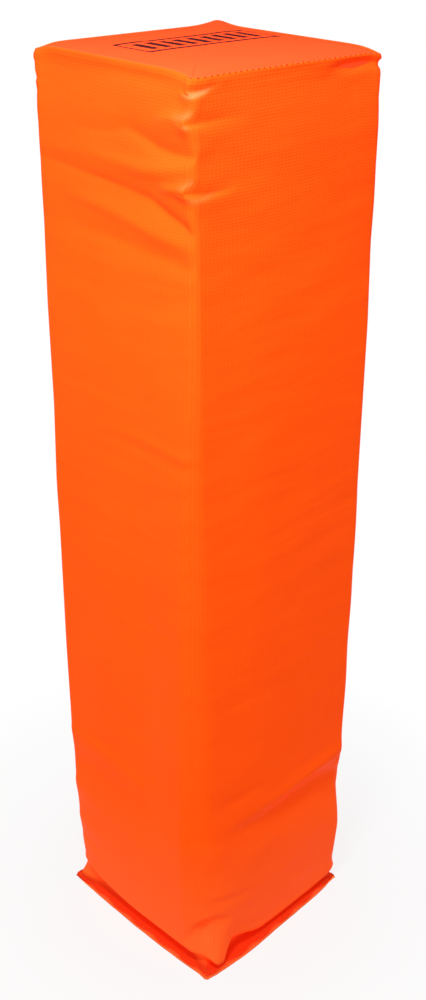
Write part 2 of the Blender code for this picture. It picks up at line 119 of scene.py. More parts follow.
camera = put("camera", bpy.data.cameras.new("camera"))
camera.data.sensor_width = SENSOR
camera.data.lens = LENS
forward = Vector((-sin(YAW) * cos(PITCH), cos(YAW) * cos(PITCH), -sin(PITCH)))
level = forward.cross(Vector((0, 0, 1))).normalized()
upright = level.cross(forward)
right = cos(ROLL) * level + sin(ROLL) * upright
up = cos(ROLL) * upright - sin(ROLL) * level
turn = Matrix((right, up, -forward)).transposed().to_4x4()
camera.matrix_world = Matrix.Translation(Vector(CAMERA_PLACE) * MM) @ turn
bpy.context.scene.camera = camera
print("camera", round(camera.location.length, 3), "m from the base")

# %% [markdown]
# ## The plan of the cover
#
# Seen from above, the wall is a square with three folded corners and one sewn corner at the back, where
# both ends of the sheet turn inwards side by side. A curve with a bevel could draw this, but the folds need
# a regular grid of points, and the corners are sharp at the top and round over the sand. So one function
# gives the place of any point of the plan from its distance along the wall, with a corner radius that may
# change with the height.

# %% Corners
def blend(value, low, high):
    """Smooth step from 0 at low to 1 at high."""
    t = np.clip((value - low) / (high - low), 0.0, 1.0)
    return t * t * (3 - 2 * t)


def bump(value, centre, width):
    """A smooth hill of height 1."""
    return np.exp(-((value - centre) / width) ** 2)


def round_hill(x, y, centre_x, centre_y, width):
    """A smooth hill of height 1, the same in all directions."""
    return np.exp(-((x - centre_x) ** 2 + (y - centre_y) ** 2) / width ** 2)


def read(table, place):
    """Read a list of (place, value) points, straight from one to the next."""
    places, values = np.array(table).T
    return np.interp(place, places, values)


FRONT_RADIUS = (
    (1.5, 3), (3, 5), (6, 11), (12, 15), (25, 18), (40, 19), (70, 16), (110, 13), (250, 9.5), (300, 7),
    (370, 4), (457, 3),
)
SIDE_RADIUS = ((1.5, 3), (6, 5.5), (14, 7), (40, 6), (110, 4.5), (450, 4), (457, 5.5))


def corner_radius(s, z, back_radius):
    """Radius of the nearest corner at a height."""
    side = np.where(np.abs(s) < 3 * HALF, read(SIDE_RADIUS, z), back_radius)
    return np.where(np.abs(s) < HALF, read(FRONT_RADIUS, z), side)


def plan(s, z, out, back_radius=CORNER_RADIUS, radius=None):
    """x, y and the outward direction at a distance s from the front edge, on a square swollen by out."""
    side = np.clip(np.floor((s + 2 * SIDE) / SIDE), 0, 3).astype(int)
    from_corner = s + 2 * SIDE - side * SIDE
    sign = np.where(from_corner > HALF, 1.0, -1.0)
    to_corner = np.where(from_corner > HALF, SIDE - from_corner, from_corner)
    if radius is None:
        radius = corner_radius(s, z, back_radius)
    share = np.clip(1 - to_corner / radius, 0.0, 1.0)
    angle = pi / 4 + np.arcsin((share - 1) / sqrt(2))
    along = np.where(share > 0, HALF - radius * (1 - np.sin(angle)), HALF - to_corner)
    along = sign * (along + out * blend(to_corner, radius + 12, radius))
    away = HALF + out - radius * (1 - np.cos(angle)) * (share > 0)
    outward = np.array(((0, 1), (-1, 0), (0, -1), (1, 0)))[side]
    travel = np.array(((-1, 0), (0, -1), (1, 0), (0, 1)))[side]
    lean = sign * np.sin(angle) * (share > 0)
    straight = np.where(share > 0, np.cos(angle), 1.0)
    return [outward[..., i] * a + travel[..., i] * b for a, b in ((away, along), (straight, lean))
            for i in (0, 1)]

# %% Columns round the wall
def spread(*stretches):
    """Places from (from, to, spacing) stretches, ends included."""
    places = []
    for start, end, spacing in stretches:
        count = max(round(abs(end - start) / spacing), 1)
        places += [start + (end - start) * i / count for i in range(count)]
    return np.array(places + [stretches[-1][1]])


SEAM_OFFSET = SEAM_BEND + sqrt(2) * (SEAM_BEND + GAP / 2)
WALL_END = 2 * SIDE - SEAM_OFFSET
HALF_SIDE = ((8, 28, 0.9), (28, 84, 2.3), (84, 96, 1.5), (96, 107, 0.8), (107, 118, 1.8),
             (118, WALL_END, 4.5))
HALF_PLACES = np.concatenate((spread((0, 8, 0.5))[:-1], spread(*HALF_SIDE)))
WALL_PLACES = np.concatenate((-HALF_PLACES[:0:-1], HALF_PLACES))
# distance along the wall from the front edge to the back corner
BACK = 2 * SIDE
CLOSED_PLACES = spread(
    (-BACK, -BACK + 24, 1.6), (-BACK + 24, -110, 2.6), (-110, -92, 0.9), (-92, -12, 1.8), (-12, 12, 0.8),
    (12, 92, 1.8), (92, 110, 0.9), (110, BACK - 24, 2.6), (BACK - 24, BACK, 1.6))[:-1]


def seam_columns():
    """x, y and direction of the bend that turns the wall's left end in, from its tip to the face."""
    cx, cy = HALF - SEAM_OFFSET, HALF - SEAM_BEND
    angles = np.linspace(-pi / 4, pi / 2, 7)[:-1]
    angles = np.concatenate((angles[:1], angles[:1], angles[:1], angles))
    nx, ny = np.cos(angles), np.sin(angles)
    return cx + nx * SEAM_BEND, cy + ny * SEAM_BEND, nx, ny


SEAM_X, SEAM_Y, SEAM_NX, SEAM_NY = seam_columns()
SEAM_COUNT = len(SEAM_X)
TURNED_IN = np.zeros(len(WALL_PLACES) + 2 * SEAM_COUNT)
TURNED_IN[:3] = TURNED_IN[-1:-4:-1] = (1.0, 2 / 3, 1 / 3)
WALL_S = np.concatenate((np.full(SEAM_COUNT, -WALL_END), WALL_PLACES, np.full(SEAM_COUNT, WALL_END)))
print("columns round the wall:", len(WALL_S))

# %% [markdown]
# ## How the filled cover swells, sinks and twists
#
# A stuffed cover is never a plain box. Its sides belly out, the middle of each side more than its corners,
# the top seam holds a soft rim with a small ear at each corner, the corners have sunk by a millimetre or
# two, and the whole cover was sewn with a twist of almost four degrees. Each of these is a small formula or
# a short list of measured points, so it can be changed alone. Cloth simulation could belly the sides too,
# but it couldn't be told where the folds of this one pylon are.

# %% Swell
BELLY, CROWN = 2.0, 1.2
RIM_OUT = ((436, 0), (446, -0.2), (450, -0.3), (453, 0), (455, 0.4), (457, 0.2))
CORNERS = {
    "back": ((445, 0), (452, 0.3), (455, 0.4), (457.2, 0)),
    "left": (
        (2, 0.4), (7.6, 1), (12, -0.2), (16.5, -1.6), (23, -2), (36, -1.6), (60, -1.2), (78, -0.8),
        (110, -0.4), (160, 0), (230, 0), (254, 0.3), (295, -0.3), (345, 0), (382, -0.3), (408, 0),
        (425, 0.3), (431, 0.6), (439.6, 0.7), (442.8, 1.2), (445, 1), (448.4, 1.7), (452, 1.9),
        (453.2, 2.2), (455.2, 2), (457.2, 1.8),
    ),
    "front": ((440, 0), (450, 0.3), (452, -0.2), (457.2, -0.2)),
    "right": (
        (2, -0.3), (7.6, 0.7), (12, 1.5), (17, 0.8), (43, 0.8), (52, 0.4), (60, 0), (69, -0.4), (76, 0),
        (113, 0), (139, 0.35), (164, 0), (188, 0.35), (235, 0.35), (257, 0), (338, 0), (357, -0.3),
        (375, -0.6), (393, -0.3), (410, -0.3), (427, 0), (438, 0), (442, 0.3), (447, 0.7), (449.1, 0.9),
        (450.8, 0.85), (452.3, 0.2), (454.1, 0.35), (455.4, 1.2), (457.2, 1.2),
    ),
}
CORNER_WIDTH = ((0, 10), (150, 10), (420, 6), (440, 4.5))
CORNER_PLACES = {"back": (-BACK, BACK), "left": (-SIDE,), "front": (0.0,), "right": (SIDE,)}


def swell(s, z):
    """How far the plain filled cover stands out of a square box."""
    from_middle = np.minimum(np.abs(2 * z / HEIGHT - 1), 1.0)
    across = np.mod(s, SIDE) / HALF - 1
    belly = BELLY * (1 - from_middle ** 10)
    crown = CROWN * (1 - across ** 2) * (1 - from_middle ** 6)
    return belly + crown + read(RIM_OUT, z)


def corners_out(s, z):
    """How far the corners stand out: ears at the top seam, and small dents and knobs further down."""
    total = np.zeros(np.broadcast(s, z).shape)
    width = read(CORNER_WIDTH, z)
    for name, places in CORNER_PLACES.items():
        for place in places:
            total += read(CORNERS[name], z) * bump(s, place, width)
    return total


def swollen(s, z):
    """How far the filled cover stands out of a square box, its corners included."""
    return swell(s, z) + corners_out(s, z)

# %% Settle
TWIST = radians(3.9)
EDGE_DROP, RIGHT_EDGE_DROP = 0.4, 1.3
CORNER_DROPS = ((-HALF, HALF, 1.9, 6.0), (HALF, -HALF, 0.9, 5.0), (-HALF, -HALF, 0.5, 9.0),
                (HALF, HALF, -1.4, 9.0))
DROP_REACH = 40.0


def settle(x, y, z):
    """Twist the upright shape about its axis, and let its top edges and corners sink to their own heights."""
    drop = EDGE_DROP + RIGHT_EDGE_DROP * bump(y, -HALF, 9.0)
    for corner_x, corner_y, depth, width in CORNER_DROPS:
        drop = drop + depth * round_hill(x, y, corner_x, corner_y, width)
    angle = TWIST * (0.5 - z / HEIGHT)
    return np.stack((
        x * np.cos(angle) - y * np.sin(angle),
        x * np.sin(angle) + y * np.cos(angle),
        z - drop * blend(z, HEIGHT - DROP_REACH, HEIGHT),
    ), axis=-1)


def settled(points):
    """Settle points that are rows of x, y and z."""
    return settle(points[..., 0], points[..., 1], points[..., 2])

# %% [markdown]
# ## The folds
#
# The cover is a little too tall for its foam, so it has buckled near the top: long shallow valleys run
# across the left side and end in sharp pinches on the front edge, which weaves left and right like a
# crushed drinking straw. Near the base, one long fold crosses the right side over the top of the sand bag,
# and a curved crease marks the pleat at the front corner.
#
# Each fold is a line on the unrolled wall. Across the line it fades out, faster on one side than on the
# other, and along the line its depth goes from point to point. That gives soft valleys and hard pinches
# from one function. Places are (distance along the wall from the front edge, height), and the left side has
# negative distances.

# %% Fold function
def crease(s, z, points, above, below, power):
    """Depth of one fold, given as (s, z, depth) points. It fades within `above` over it and `below` under it.

    A power of 2 makes it round, and a power near 1 makes it sharp.
    """
    best = np.full(np.broadcast(s, z).shape, 1e9)
    depth = np.zeros_like(best)
    for (s0, z0, d0), (s1, z1, d1) in zip(points, points[1:]):
        run, rise = s1 - s0, z1 - z0
        share = np.clip(((s - s0) * run + (z - z0) * rise) / (run * run + rise * rise), 0.0, 1.0)
        ds, dz = s - s0 - share * run, z - z0 - share * rise
        width = np.where(dz >= 0, above, below)
        distance = np.hypot(ds, dz)
        closer = distance < best
        depth = np.where(closer, (d0 + (d1 - d0) * share) * np.exp(-(distance / width) ** power), depth)
        best = np.minimum(best, distance)
    return depth

# %% Fold lists
# Points with a depth, outwards if positive, then fade above, fade below and power.
LEFT_FOLDS = (
    # shallow valleys under the top seam
    (((-100, 447, 0), (-90, 447, -1), (-70, 447.5, -0.9), (-45, 448.5, 0)), 8, 14, 2),
    (((-10, 449.9, 0), (-5, 449.9, 1), (2, 449.6, 1)), 0.9, 3.5, 1.6),
    (((-75, 452.8, 0), (-50, 452.3, -0.4), (-20, 452.1, -0.4), (-8, 451.8, 0)), 3.2, 2, 2),
    # first tooth of the weaving edge
    (((-24, 437.4, 0), (-17, 438.4, 1), (-10, 439.9, 1.7), (-4, 440.6, 1.9),
      (4, 441, 1.4)), 2.6, 5.5, 1.8),
    (((-9, 438.2, 0), (-5, 438.2, 0.8), (2, 438, 0.8)), 0.9, 3.5, 1.6),
    # long valley that meets the edge at its first knee
    (((-78, 427.5, 0), (-60, 428, -0.5), (-48, 429.4, -0.8), (-40, 431.6, -1.1), (-30, 429.4, -1.5),
      (-20, 426.6, -1.8), (-10, 425.9, -1.7), (0, 426.5, -1.4), (6, 427, -1)), 4.4, 3, 1.3),
    # second tooth, and the thin ledge under it
    (((-20, 411.6, 0), (-12, 412.4, 1.3), (-6, 413.4, 2.1), (4, 414.2, 1.5)), 2.6, 3, 1.8),
    (((-9, 411.2, 0), (-5, 411.2, 0.8), (2, 411, 0.8)), 0.9, 3, 1.6),
    (((-88, 417, 0.2), (-60, 418.3, 0.5), (-44, 418, 0.9), (-30, 417.6, 1.6), (-18, 418.8, 1.8),
      (-10, 420.3, 1.5), (-4, 422, 1), (4, 424, 0.5)), 3, 4, 1.9),
    # long valley that meets the edge at its second knee
    (((-97, 410.6, -0.3), (-85, 410.2, -0.7), (-60, 409, -1), (-40, 407.2, -1.4), (-25, 405.6, -1.8),
      (-20, 404, -1.9), (-10, 400.2, -2), (-5, 398.2, -2), (4, 396.4, -1.6)), 3.2, 5, 1.4),
    (((-80, 398.5, 0.2), (-60, 398, 0.7), (-40, 395.6, 0.9), (-25, 393, 0.9), (-12, 391.6, 0.8),
      (0, 391.4, 0.4)), 4, 3.2, 1.8),
    # third valley
    (((-88, 387.5, 0), (-50, 385.6, -0.9), (-40, 384.2, -1.2), (-25, 384, -1.2), (-10, 383.8, -1.1),
      (2, 382, -0.3)), 5.6, 4.2, 1.5),
    (((-14, 370.2, 0), (-6, 369.6, -0.5), (1, 368.8, -0.5)), 1.6, 1.2, 1.3),
    # faint waves half way up
    (((-70, 299, 0), (-40, 299, 0.4), (-8, 299.5, 0.5), (3, 301.5, 0.4)), 3, 2.4, 1.6),
    (((-70, 293, 0), (-40, 294, -0.4), (-8, 294.3, -0.5), (2, 295, -0.3)), 2.4, 3, 1.6),
    (((-85, 269, 0), (-60, 270, -0.5), (-35, 272.5, -0.4), (-15, 274, 0)), 4, 4, 1.6),
    (((-80, 246, 0), (-40, 247, -0.4), (-12, 247, -0.3), (-3, 247, 0)), 3.5, 3.5, 1.6),
    (((-44, 255, 0), (-38, 254.2, 0.3), (-25, 252.4, 0.3), (-15, 251.6, 0)), 1.6, 2.2, 1.6),
    (((-75, 208, 0), (-40, 209, -0.3), (-10, 209, 0)), 4, 5, 2),
    # over the sand bag
    (((-98, 108.5, 0.6), (-80, 107.8, 0.8), (-55, 107.5, 0.6), (-40, 104, 0.3),
      (-30, 100, 0)), 2.4, 6, 1.6),
    (((-95, 92, -0.6), (-70, 93, -0.5), (-45, 90, 0)), 9, 9, 2),
    (((-98, 73.5, 0.8), (-84, 71, 0.5), (-70, 66, 0)), 3, 7, 2),
    (((-98, 50, 0.5), (-89, 48, 0.4), (-76, 44, 0)), 3, 4, 1.8),
    (((-98, 38.5, -0.4), (-88, 37.5, -0.5), (-72, 34, 0)), 3, 3, 1.8),
)
RIGHT_FOLDS = (
    # pinch under the top corner, with a thin ledge below it
    (((-4, 451.5, -0.3), (0, 451.6, -0.5), (5, 452.2, -0.6), (9, 453.4, -0.4),
      (14, 455, 0)), 3.4, 1, 1.5),
    (((12, 455.6, 0), (30, 455, -0.4), (60, 454.8, -0.4), (74, 454.8, 0)), 3, 2.6, 2),
    (((30, 449, 0), (55, 448, -0.8), (85, 447, -1), (100, 447, 0)), 8, 14, 2),
    # notches of the first and the second tooth
    (((-4, 439.8, -0.6), (4, 440, -0.6), (14, 440.4, -0.5), (28, 440.2, 0)), 3, 1.8, 1.6),
    (((-4, 436, 0.3), (10, 436, 0.4), (30, 434.5, 0)), 3, 4.5, 2),
    (((-4, 429.2, 0.6), (3, 429.2, 0.5), (10, 428.6, 0)), 3, 3, 2),
    (((-4, 411.9, -0.7), (5, 411.7, -0.8), (11, 411.9, -0.6), (20, 413.2, 0)), 2.6, 1.2, 1.4),
    (((-4, 409.5, 0.3), (8, 409.5, 0.5), (24, 411, 0)), 1.8, 4, 2),
    (((-4, 397.5, 0.5), (6, 397, 0)), 3, 3, 2),
    # dimple below the right ear
    (((70, 453.6, 0), (79, 453.4, -1.5), (88, 453.2, -2.2), (95, 453.6, -1.7),
      (103, 454.4, 0)), 2.4, 2.2, 1.6),
    (((70, 449.6, 0), (86, 449.6, 0.5), (98, 450.1, 0.2)), 1.6, 3, 2),
    # faint waves half way up
    (((-3, 299, 0.3), (12, 303, 0.2), (25, 306, 0)), 3, 3, 2),
    (((10, 268, 0), (50, 271, -0.3), (90, 268, 0)), 8, 8, 2),
    (((30, 205, 0), (70, 208, -0.3), (100, 206, -0.3)), 9, 9, 2),
    # the long fold over the sand bag
    (((26, 90, 0), (40, 91, 0.8), (60, 92.6, 1.5), (80, 93.6, 1.8), (92, 94.8, 1.5),
      (104, 97, 0.7)), 5, 2.4, 1.6),
    (((18, 84, 0), (30, 84.5, -1.8), (44, 84.5, -2.8), (62, 84.5, -3.4), (82, 84, -3.4), (95, 81, -2.8),
      (104, 78, -2.2)), 5, 14, 1.6),
    (((8, 106, 0), (20, 106, -0.8), (34, 106, -0.8), (50, 105, 0)), 2, 4.5, 1.6),
    (((-3, 88.6, -0.5), (6, 88.2, -0.4), (14, 87.5, 0)), 1.4, 2.4, 1.6),
    # soft lines that fan out from the front edge above the pleat
    (((2, 50.5, 0), (10, 50.2, 0.5), (22, 48, 0.5), (34, 43.5, 0)), 2, 2, 1.6),
    (((2, 46, 0), (14, 45.2, -0.5), (26, 41.5, -0.5), (40, 37, 0)), 2, 2.6, 1.6),
    (((10, 41, 0), (22, 37, 0.4), (38, 32.5, 0)), 2.4, 2.4, 1.6),
    (((20, 30, 0), (32, 27, -0.5), (46, 25, 0)), 2.2, 2.6, 1.6),
    (((30, 23.6, 0), (44, 22.8, 0.5), (64, 22.5, 0)), 2, 2, 1.6),
    (((36, 19.6, 0), (50, 19.4, -0.4), (66, 19.8, 0)), 2, 2.4, 1.6),
    (((50, 46, 0), (75, 48, 0.5), (104, 46, 0.8)), 14, 14, 2),
)
PLEAT_CREASE = (
    (-17, 14.5, 0), (-14, 19, -1.2), (-11.5, 24, -2), (-8, 28, -2.5), (-3.5, 30.2, -2.8), (0, 31.6, -2.9),
    (5, 33.4, -2.8), (10, 34.6, -2.3), (15, 33.2, -1.6), (20, 30.5, 0),
)
TOP_FADE, BASE_FADE = (457.3, 455.2), (8.0, 22.0)


def fold_relief(s, z, folds):
    """All folds of one side. They fade out at the top seam and into the roll over the flange."""
    total = np.zeros(np.broadcast(s, z).shape)
    for points, *shape in folds:
        total += crease(s, z, points, *shape)
    return total * blend(z, *TOP_FADE) * blend(z, *BASE_FADE)

# %% [markdown]
# ## From stations and heights to points
#
# A point on the wall is its place on the plan, swollen, with the folds added. The left side's folds move a
# point along -X and the right side's along -Y, and each fades out across the front edge. The edge itself
# isn't straight either: it drifts to the left on its way down, and near the top it has teeth like a crushed
# drinking straw. Both are lists of how far the edge has moved, one wide and soft, one narrow and sharp.

# %% Moving the wall
EDGE_DRIFT = (
    (26, 0.3), (40, 1), (60, 2.2), (90, 3.4), (130, 3.4), (180, 3.2), (240, 3), (290, 2.4), (350, 1.1),
    (385, 0.9), (420, 1), (440, 0.7), (457, 0),
)
EDGE_TEETH = (
    (385, 0), (391, 0.1), (396, 0.4), (398, 0.8), (401, 0.5), (406, 0.1), (411.6, 0), (412.7, 1.2),
    (415, 0.7), (417.8, 0), (424, 0), (438.4, 0), (439.5, 1.2), (442.2, 0.7), (445.2, 0), (449, -0.3),
    (450.4, -0.1), (451.7, 1.9), (454, 1.7), (457.2, 1.2),
)
DRIFT_REACH, TEETH_REACH = 42.0, 7.0
# the folds of a side fade out between these distances from the front edge, and from the side corner
FRONT_FADE, SIDE_FADE = (-5.0, 3.0), (SIDE + 6.0, SIDE - 4.0)
PLEAT_SHAPE, PLEAT_FADE, PLEAT_REACH = (1.0, 13.0, 1.3), (6.0, 14.0), 9.0


def edge_shift(s, z):
    """How far the front edge and the cloth beside it have moved to the left, seen from the front."""
    away = np.abs(s)
    drift = read(EDGE_DRIFT, z) * blend(away, DRIFT_REACH, 0.0)
    return drift + read(EDGE_TEETH, z) * blend(away, TEETH_REACH, 0.0)


def on_side(away):
    """1 on one side of the pylon, at a distance from the front edge, and 0 past its corners."""
    return blend(away, *FRONT_FADE) * blend(away, *SIDE_FADE)


def add_folds(s, z, x, y):
    """Move points by the folds of the side they are on, by the pleat's crease and by the edge's own drift."""
    pleat = crease(s, z, PLEAT_CREASE, *PLEAT_SHAPE) * blend(z, *PLEAT_FADE)
    shift = edge_shift(s, z)
    x = x - on_side(-s) * fold_relief(s, z, LEFT_FOLDS) - blend(s, PLEAT_REACH, 0.0) * pleat - shift
    y = y - on_side(s) * fold_relief(s, z, RIGHT_FOLDS) - blend(s, -PLEAT_REACH, 0.0) * pleat + shift
    return x, y


def wall_point(z, out):
    """x, y and direction of the wall's grid for rows of heights z that stand out of the square by out."""
    s = np.broadcast_to(WALL_S, z.shape)
    x, y, nx, ny = (np.array(a) for a in plan(s, z, out))
    for columns, a, b, c, d in ((slice(None, SEAM_COUNT), SEAM_X, SEAM_Y, SEAM_NX, SEAM_NY),
                                (slice(None, -SEAM_COUNT - 1, -1), SEAM_Y, SEAM_X, SEAM_NY, SEAM_NX)):
        x[:, columns], y[:, columns], nx[:, columns], ny[:, columns] = (
            a + out[:, columns], b + out[:, columns], c, d)
    x, y = add_folds(s, z, x, y)
    return x, y, nx, ny

# %% Ring under the wall
def ring(depth, z, share, back_radius, folds=False):
    """A closed ring under the wall's face. Share draws it to the middle; z may differ from place to place."""
    s = CLOSED_PLACES
    z = np.broadcast_to(np.asarray(z, float), s.shape)
    level = np.minimum(z, HEIGHT)
    x, y, nx, ny = plan(s, level, swollen(s, level), back_radius)
    if folds:
        x, y = add_folds(s, level, x, y)
    else:
        x, y = x - edge_shift(s, level), y + edge_shift(s, level)
    return settle((x - nx * depth) * share, (y - ny * depth) * share, z)

# %% [markdown]
# ## The roll over the flange
#
# The body is wider than the seam that closes it, so its lower edge rolls in and hangs over the flange like
# a soft tyre over a kerb. The height of that roll differs from place to place and dips to a tongue at the
# pleat, just right of the front edge. Each column has a short profile of its own here, drawn through a few
# points by a smooth curve.

# %% Lists for the base
FLANGE_REACHES = (
    (-101.6, 0.8), (-91, 0.9), (-85, 1.4), (-78, 1.75), (-66, 2.25), (-54, 2.65), (-42, 2.6), (-29, 2.6),
    (-17, 2.4), (-11, 2.2), (-5, 1.75), (0, 1.4), (3, 2.1), (6.5, 3.3), (13, 4), (19, 4.3), (25, 4.6),
    (31, 4.75), (37, 4.65), (43, 4.4), (55, 3.95), (67, 3.5), (79, 3), (88, 2.6), (93, 2.1), (97, 1.2),
    (101.6, 0.4),
)
FLANGE_POINT, POINT_WIDTH = 0.8, 4.0
TIP_LIFTS = ((-HALF, HALF, 2.4), (HALF, -HALF, 0.5))
TIP_OUT, TIP_REACH = 1.05, 6.0
ROLL_HEIGHTS = (
    (-203, 11), (-150, 10), (-112, 12), (-101, 19), (-93, 17.5), (-80, 14), (-70, 12), (-60, 10.6),
    (-50, 10.1), (-20, 10.3), (-10, 10.4), (-4, 10.4), (0, 10.2), (4, 8.6), (8, 6), (11, 4), (12.6, 3),
    (14, 5.6), (16, 9.2), (18, 12.4), (19.5, 13.6), (22, 13), (26, 11.6), (30, 10.4), (36, 7.4), (41, 5.6),
    (60, 5), (85, 5.4), (93, 6.6), (101, 9), (112, 8), (150, 9), (203, 11),
)
ROLL_OUT = (
    (-203, 0), (-12, 0), (-6, 0.3), (0, 1), (5, 1.8), (9, 2.4), (12, 2.6), (14.5, 1.7), (17, 0.5),
    (19.6, -0.4), (21, -0.9), (24, -0.9), (29, -0.3), (36, 0), (203, 0),
)
CREASE_DEPTHS = (
    (-203, 3.6), (-108, 2.4), (-101.6, 0.6), (-96, 2.2), (-88, 4.2), (-60, 4.8), (-20, 4.8), (-9, 4.2),
    (-3, 2.6), (0, 2), (4, 2.6), (8, 3), (11, 2), (13, 2), (16, 3.6), (22, 5), (30, 4.6), (45, 3.2),
    (90, 3), (97, 1.8), (101.6, 0.4), (106, 2), (203, 3.6),
)


def flange_reach(s):
    """How far the flange stands out. The two back sides are the same as the sides opposite them."""
    return read(FLANGE_REACHES, np.where(np.abs(s) > SIDE, np.sign(s) * (SIDE - np.abs(s)), s))


def flange_point(s):
    """How far the flange is drawn out to a point at each corner."""
    return sum(FLANGE_POINT * bump(s, i * SIDE, POINT_WIDTH) for i in (-2, -1, 0, 1, 2))


def tip_lift(x, y):
    """How far the flange's corners have curled up."""
    return sum(lift * round_hill(x, y, TIP_OUT * corner_x, TIP_OUT * corner_y, TIP_REACH)
               for corner_x, corner_y, lift in TIP_LIFTS)


def smooth_curve(points, steps):
    """A Catmull-Rom curve through points, each an array, with steps[i] rows between one and the next."""
    points = np.asarray(points)
    padded = np.concatenate((2 * points[:1] - points[1:2], points, 2 * points[-1:] - points[-2:-1]))
    rows = []
    for i, count in enumerate(steps):
        a, b, c, d = padded[i:i + 4]
        for t in np.arange(count) / count:
            rows.append(0.5 * (2 * b + (c - a) * t + (2 * a - 5 * b + 4 * c - d) * t ** 2
                               + (3 * b - a - 3 * c + d) * t ** 3))
    rows.append(points[-1])
    return np.array(rows)

# %% Profile of the base
BASE_TOP = 26.0
BASE_STEPS = (2, 2, 2, 3, 3, 4, 4, 4, 3)
# height, length and start of the small waves in the hem's edge
EDGE_WAVES = ((0.10, 9.3, 1.0), (0.04, 3.1, 0.0), (0.02, 1.7, 2.0))
# heights over which the flange's points, the corners' own shape and the curl of the tips fade
POINT_FADE, CORNER_FADE, CURL_FADE = (HEM_TOP + 0.8, HEM_TOP + 6.0), (2.5, 7.0), (HEM_TOP, 12.0)


def edge_wave(s):
    """Small waves of the hem's edge, which was cut by hand."""
    return sum(height * np.sin(s / length + start) for height, length, start in EDGE_WAVES)


def base_profile():
    """Out and height of the wall from the edge of the hem to the plain body, one column for each station."""
    s = WALL_S
    roll, bulge, depth = read(ROLL_HEIGHTS, s), read(ROLL_OUT, s), read(CREASE_DEPTHS, s)
    reach = flange_reach(s) + edge_wave(s)
    body = swell(s, roll + 5.0)
    low = HEM_TOP + 0.6 + 0.1 * roll
    points = (
        (reach, np.full_like(s, HEM_TOP)),
        (reach - 1.6, HEM_TOP + 0.12 + 0.12 * np.sin(s / 2.9)),
        (0.5 * (reach - 1.0 - depth), HEM_TOP + 0.3 + 0.03 * roll),
        (0.6 - depth, low),
        (-depth, np.maximum(low + 0.3, 0.42 * roll + 0.6)),
        (0.2 * bulge - 0.35 * depth, np.maximum(low + 0.8, 0.80 * roll)),
        (body + bulge - 0.7, np.maximum(low + 1.3, roll - 0.2)),
        (body + bulge, roll + 2.0),
        (body + 0.75 * bulge, np.minimum(roll + 6.0, BASE_TOP - 2.0)),
        (swell(s, np.full_like(s, BASE_TOP)), np.full_like(s, BASE_TOP)),
    )
    outs, heights = zip(*points)
    return smooth_curve(outs, BASE_STEPS), smooth_curve(heights, BASE_STEPS)


def base_grid():
    """x, y and z of the base rows."""
    out, z = base_profile()
    out = out + flange_point(WALL_S) * (1 - blend(z, *POINT_FADE))
    out = out + corners_out(WALL_S, z) * blend(z, *CORNER_FADE)
    x, y, _, _ = wall_point(z, out)
    return x, y, z + tip_lift(x, y) * (1 - blend(z, *CURL_FADE))

# %% [markdown]
# ## Making the meshes
#
# The grid becomes a sheet with a real thickness: an outer skin, an inner skin moved in along the surface
# normals, and a rim that joins them. A Solidify modifier could do the same, but here the rim and the UV map
# are needed exactly. The UV map is in metres along the wall and up it, so the weave follows the cloth
# through every fold.

# %% Mesh helpers
def mesh_object(name, points, edges=(), faces=()):
    """A smooth mesh object from points in millimetres."""
    mesh = bpy.data.meshes.new(name)
    mesh.from_pydata((np.asarray(points) * MM).tolist(), edges, faces)
    mesh.shade_smooth()
    return put(name, mesh)


def grid_normals(points, looped=False):
    """Unit normals of a grid of points; they point out where columns go anticlockwise and rows go up."""
    if looped:
        along = np.roll(points, -1, axis=1) - np.roll(points, 1, axis=1)
    else:
        along = np.gradient(points, axis=1)
    normal = np.cross(along, np.gradient(points, axis=0))
    return normal / np.maximum(np.linalg.norm(normal, axis=-1, keepdims=True), 1e-9)


def sheet_from_grids(name, outer, inner):
    """A closed sheet from its outer and its inner grid of points."""
    rows, columns = outer.shape[:2]
    index = np.arange(rows * columns).reshape(rows, columns)
    a, b, c, d = index[:-1, :-1], index[:-1, 1:], index[1:, 1:], index[1:, :-1]
    under = rows * columns
    quads = [np.stack((a, b, c, d), -1).reshape(-1, 4), under + np.stack((d, c, b, a), -1).reshape(-1, 4)]
    for edge in (index[0, ::-1], index[-1], index[:, 0], index[::-1, -1]):
        quads.append(np.stack((edge[:-1], edge[1:], under + edge[1:], under + edge[:-1]), -1))
    points = np.concatenate((outer.reshape(-1, 3), inner.reshape(-1, 3)))
    return mesh_object(name, points, faces=np.concatenate(quads).tolist())


def stack(name, rings):
    """A closed body from rings of points, all with as many points, with a fan at both ends."""
    count = len(rings[0])
    points = np.concatenate([*rings, [np.mean(rings[0], axis=0)], [np.mean(rings[-1], axis=0)]])
    index = np.arange(count)
    after = np.roll(index, -1)
    starts = np.arange(len(rings)) * count
    faces = []
    for low, high in zip(starts, starts[1:]):
        faces += np.stack((low + index, low + after, high + after, high + index), -1).tolist()
    middle = np.full(count, len(points) - 2)
    faces += np.stack((after, index, middle), -1).tolist()
    faces += np.stack((high + index, high + after, middle + 1), -1).tolist()
    return mesh_object(name, points, faces=faces)


def set_uv(thing, coordinates):
    """Write the UV map "cloth" from one (u, v) pair for each vertex, in millimetres."""
    layer = thing.data.uv_layers.new(name="cloth")
    vertex = np.zeros(len(thing.data.loops), np.int32)
    thing.data.loops.foreach_get("vertex_index", vertex)
    layer.data.foreach_set("uv", (np.asarray(coordinates)[vertex] * MM).astype(np.float32).ravel())


def report(thing, what):
    """Print what was made, and hand it on."""
    print(f"{thing.name}: {what}, {len(thing.data.polygons)} faces")
    return thing

# %% [markdown]
# ## The wall sheet
#
# One sheet goes round all four sides. Its hem turns outwards at the base, its top edge folds inwards over
# the seam, and its two ends turn inwards at the back corner. Rows are close together where the small folds
# are.

# %% Build the wall sheet
WALL_TOP = HEIGHT - FOLD_RADIUS
TRIM_STEP, LEAST_KEPT = 0.08, 0.03
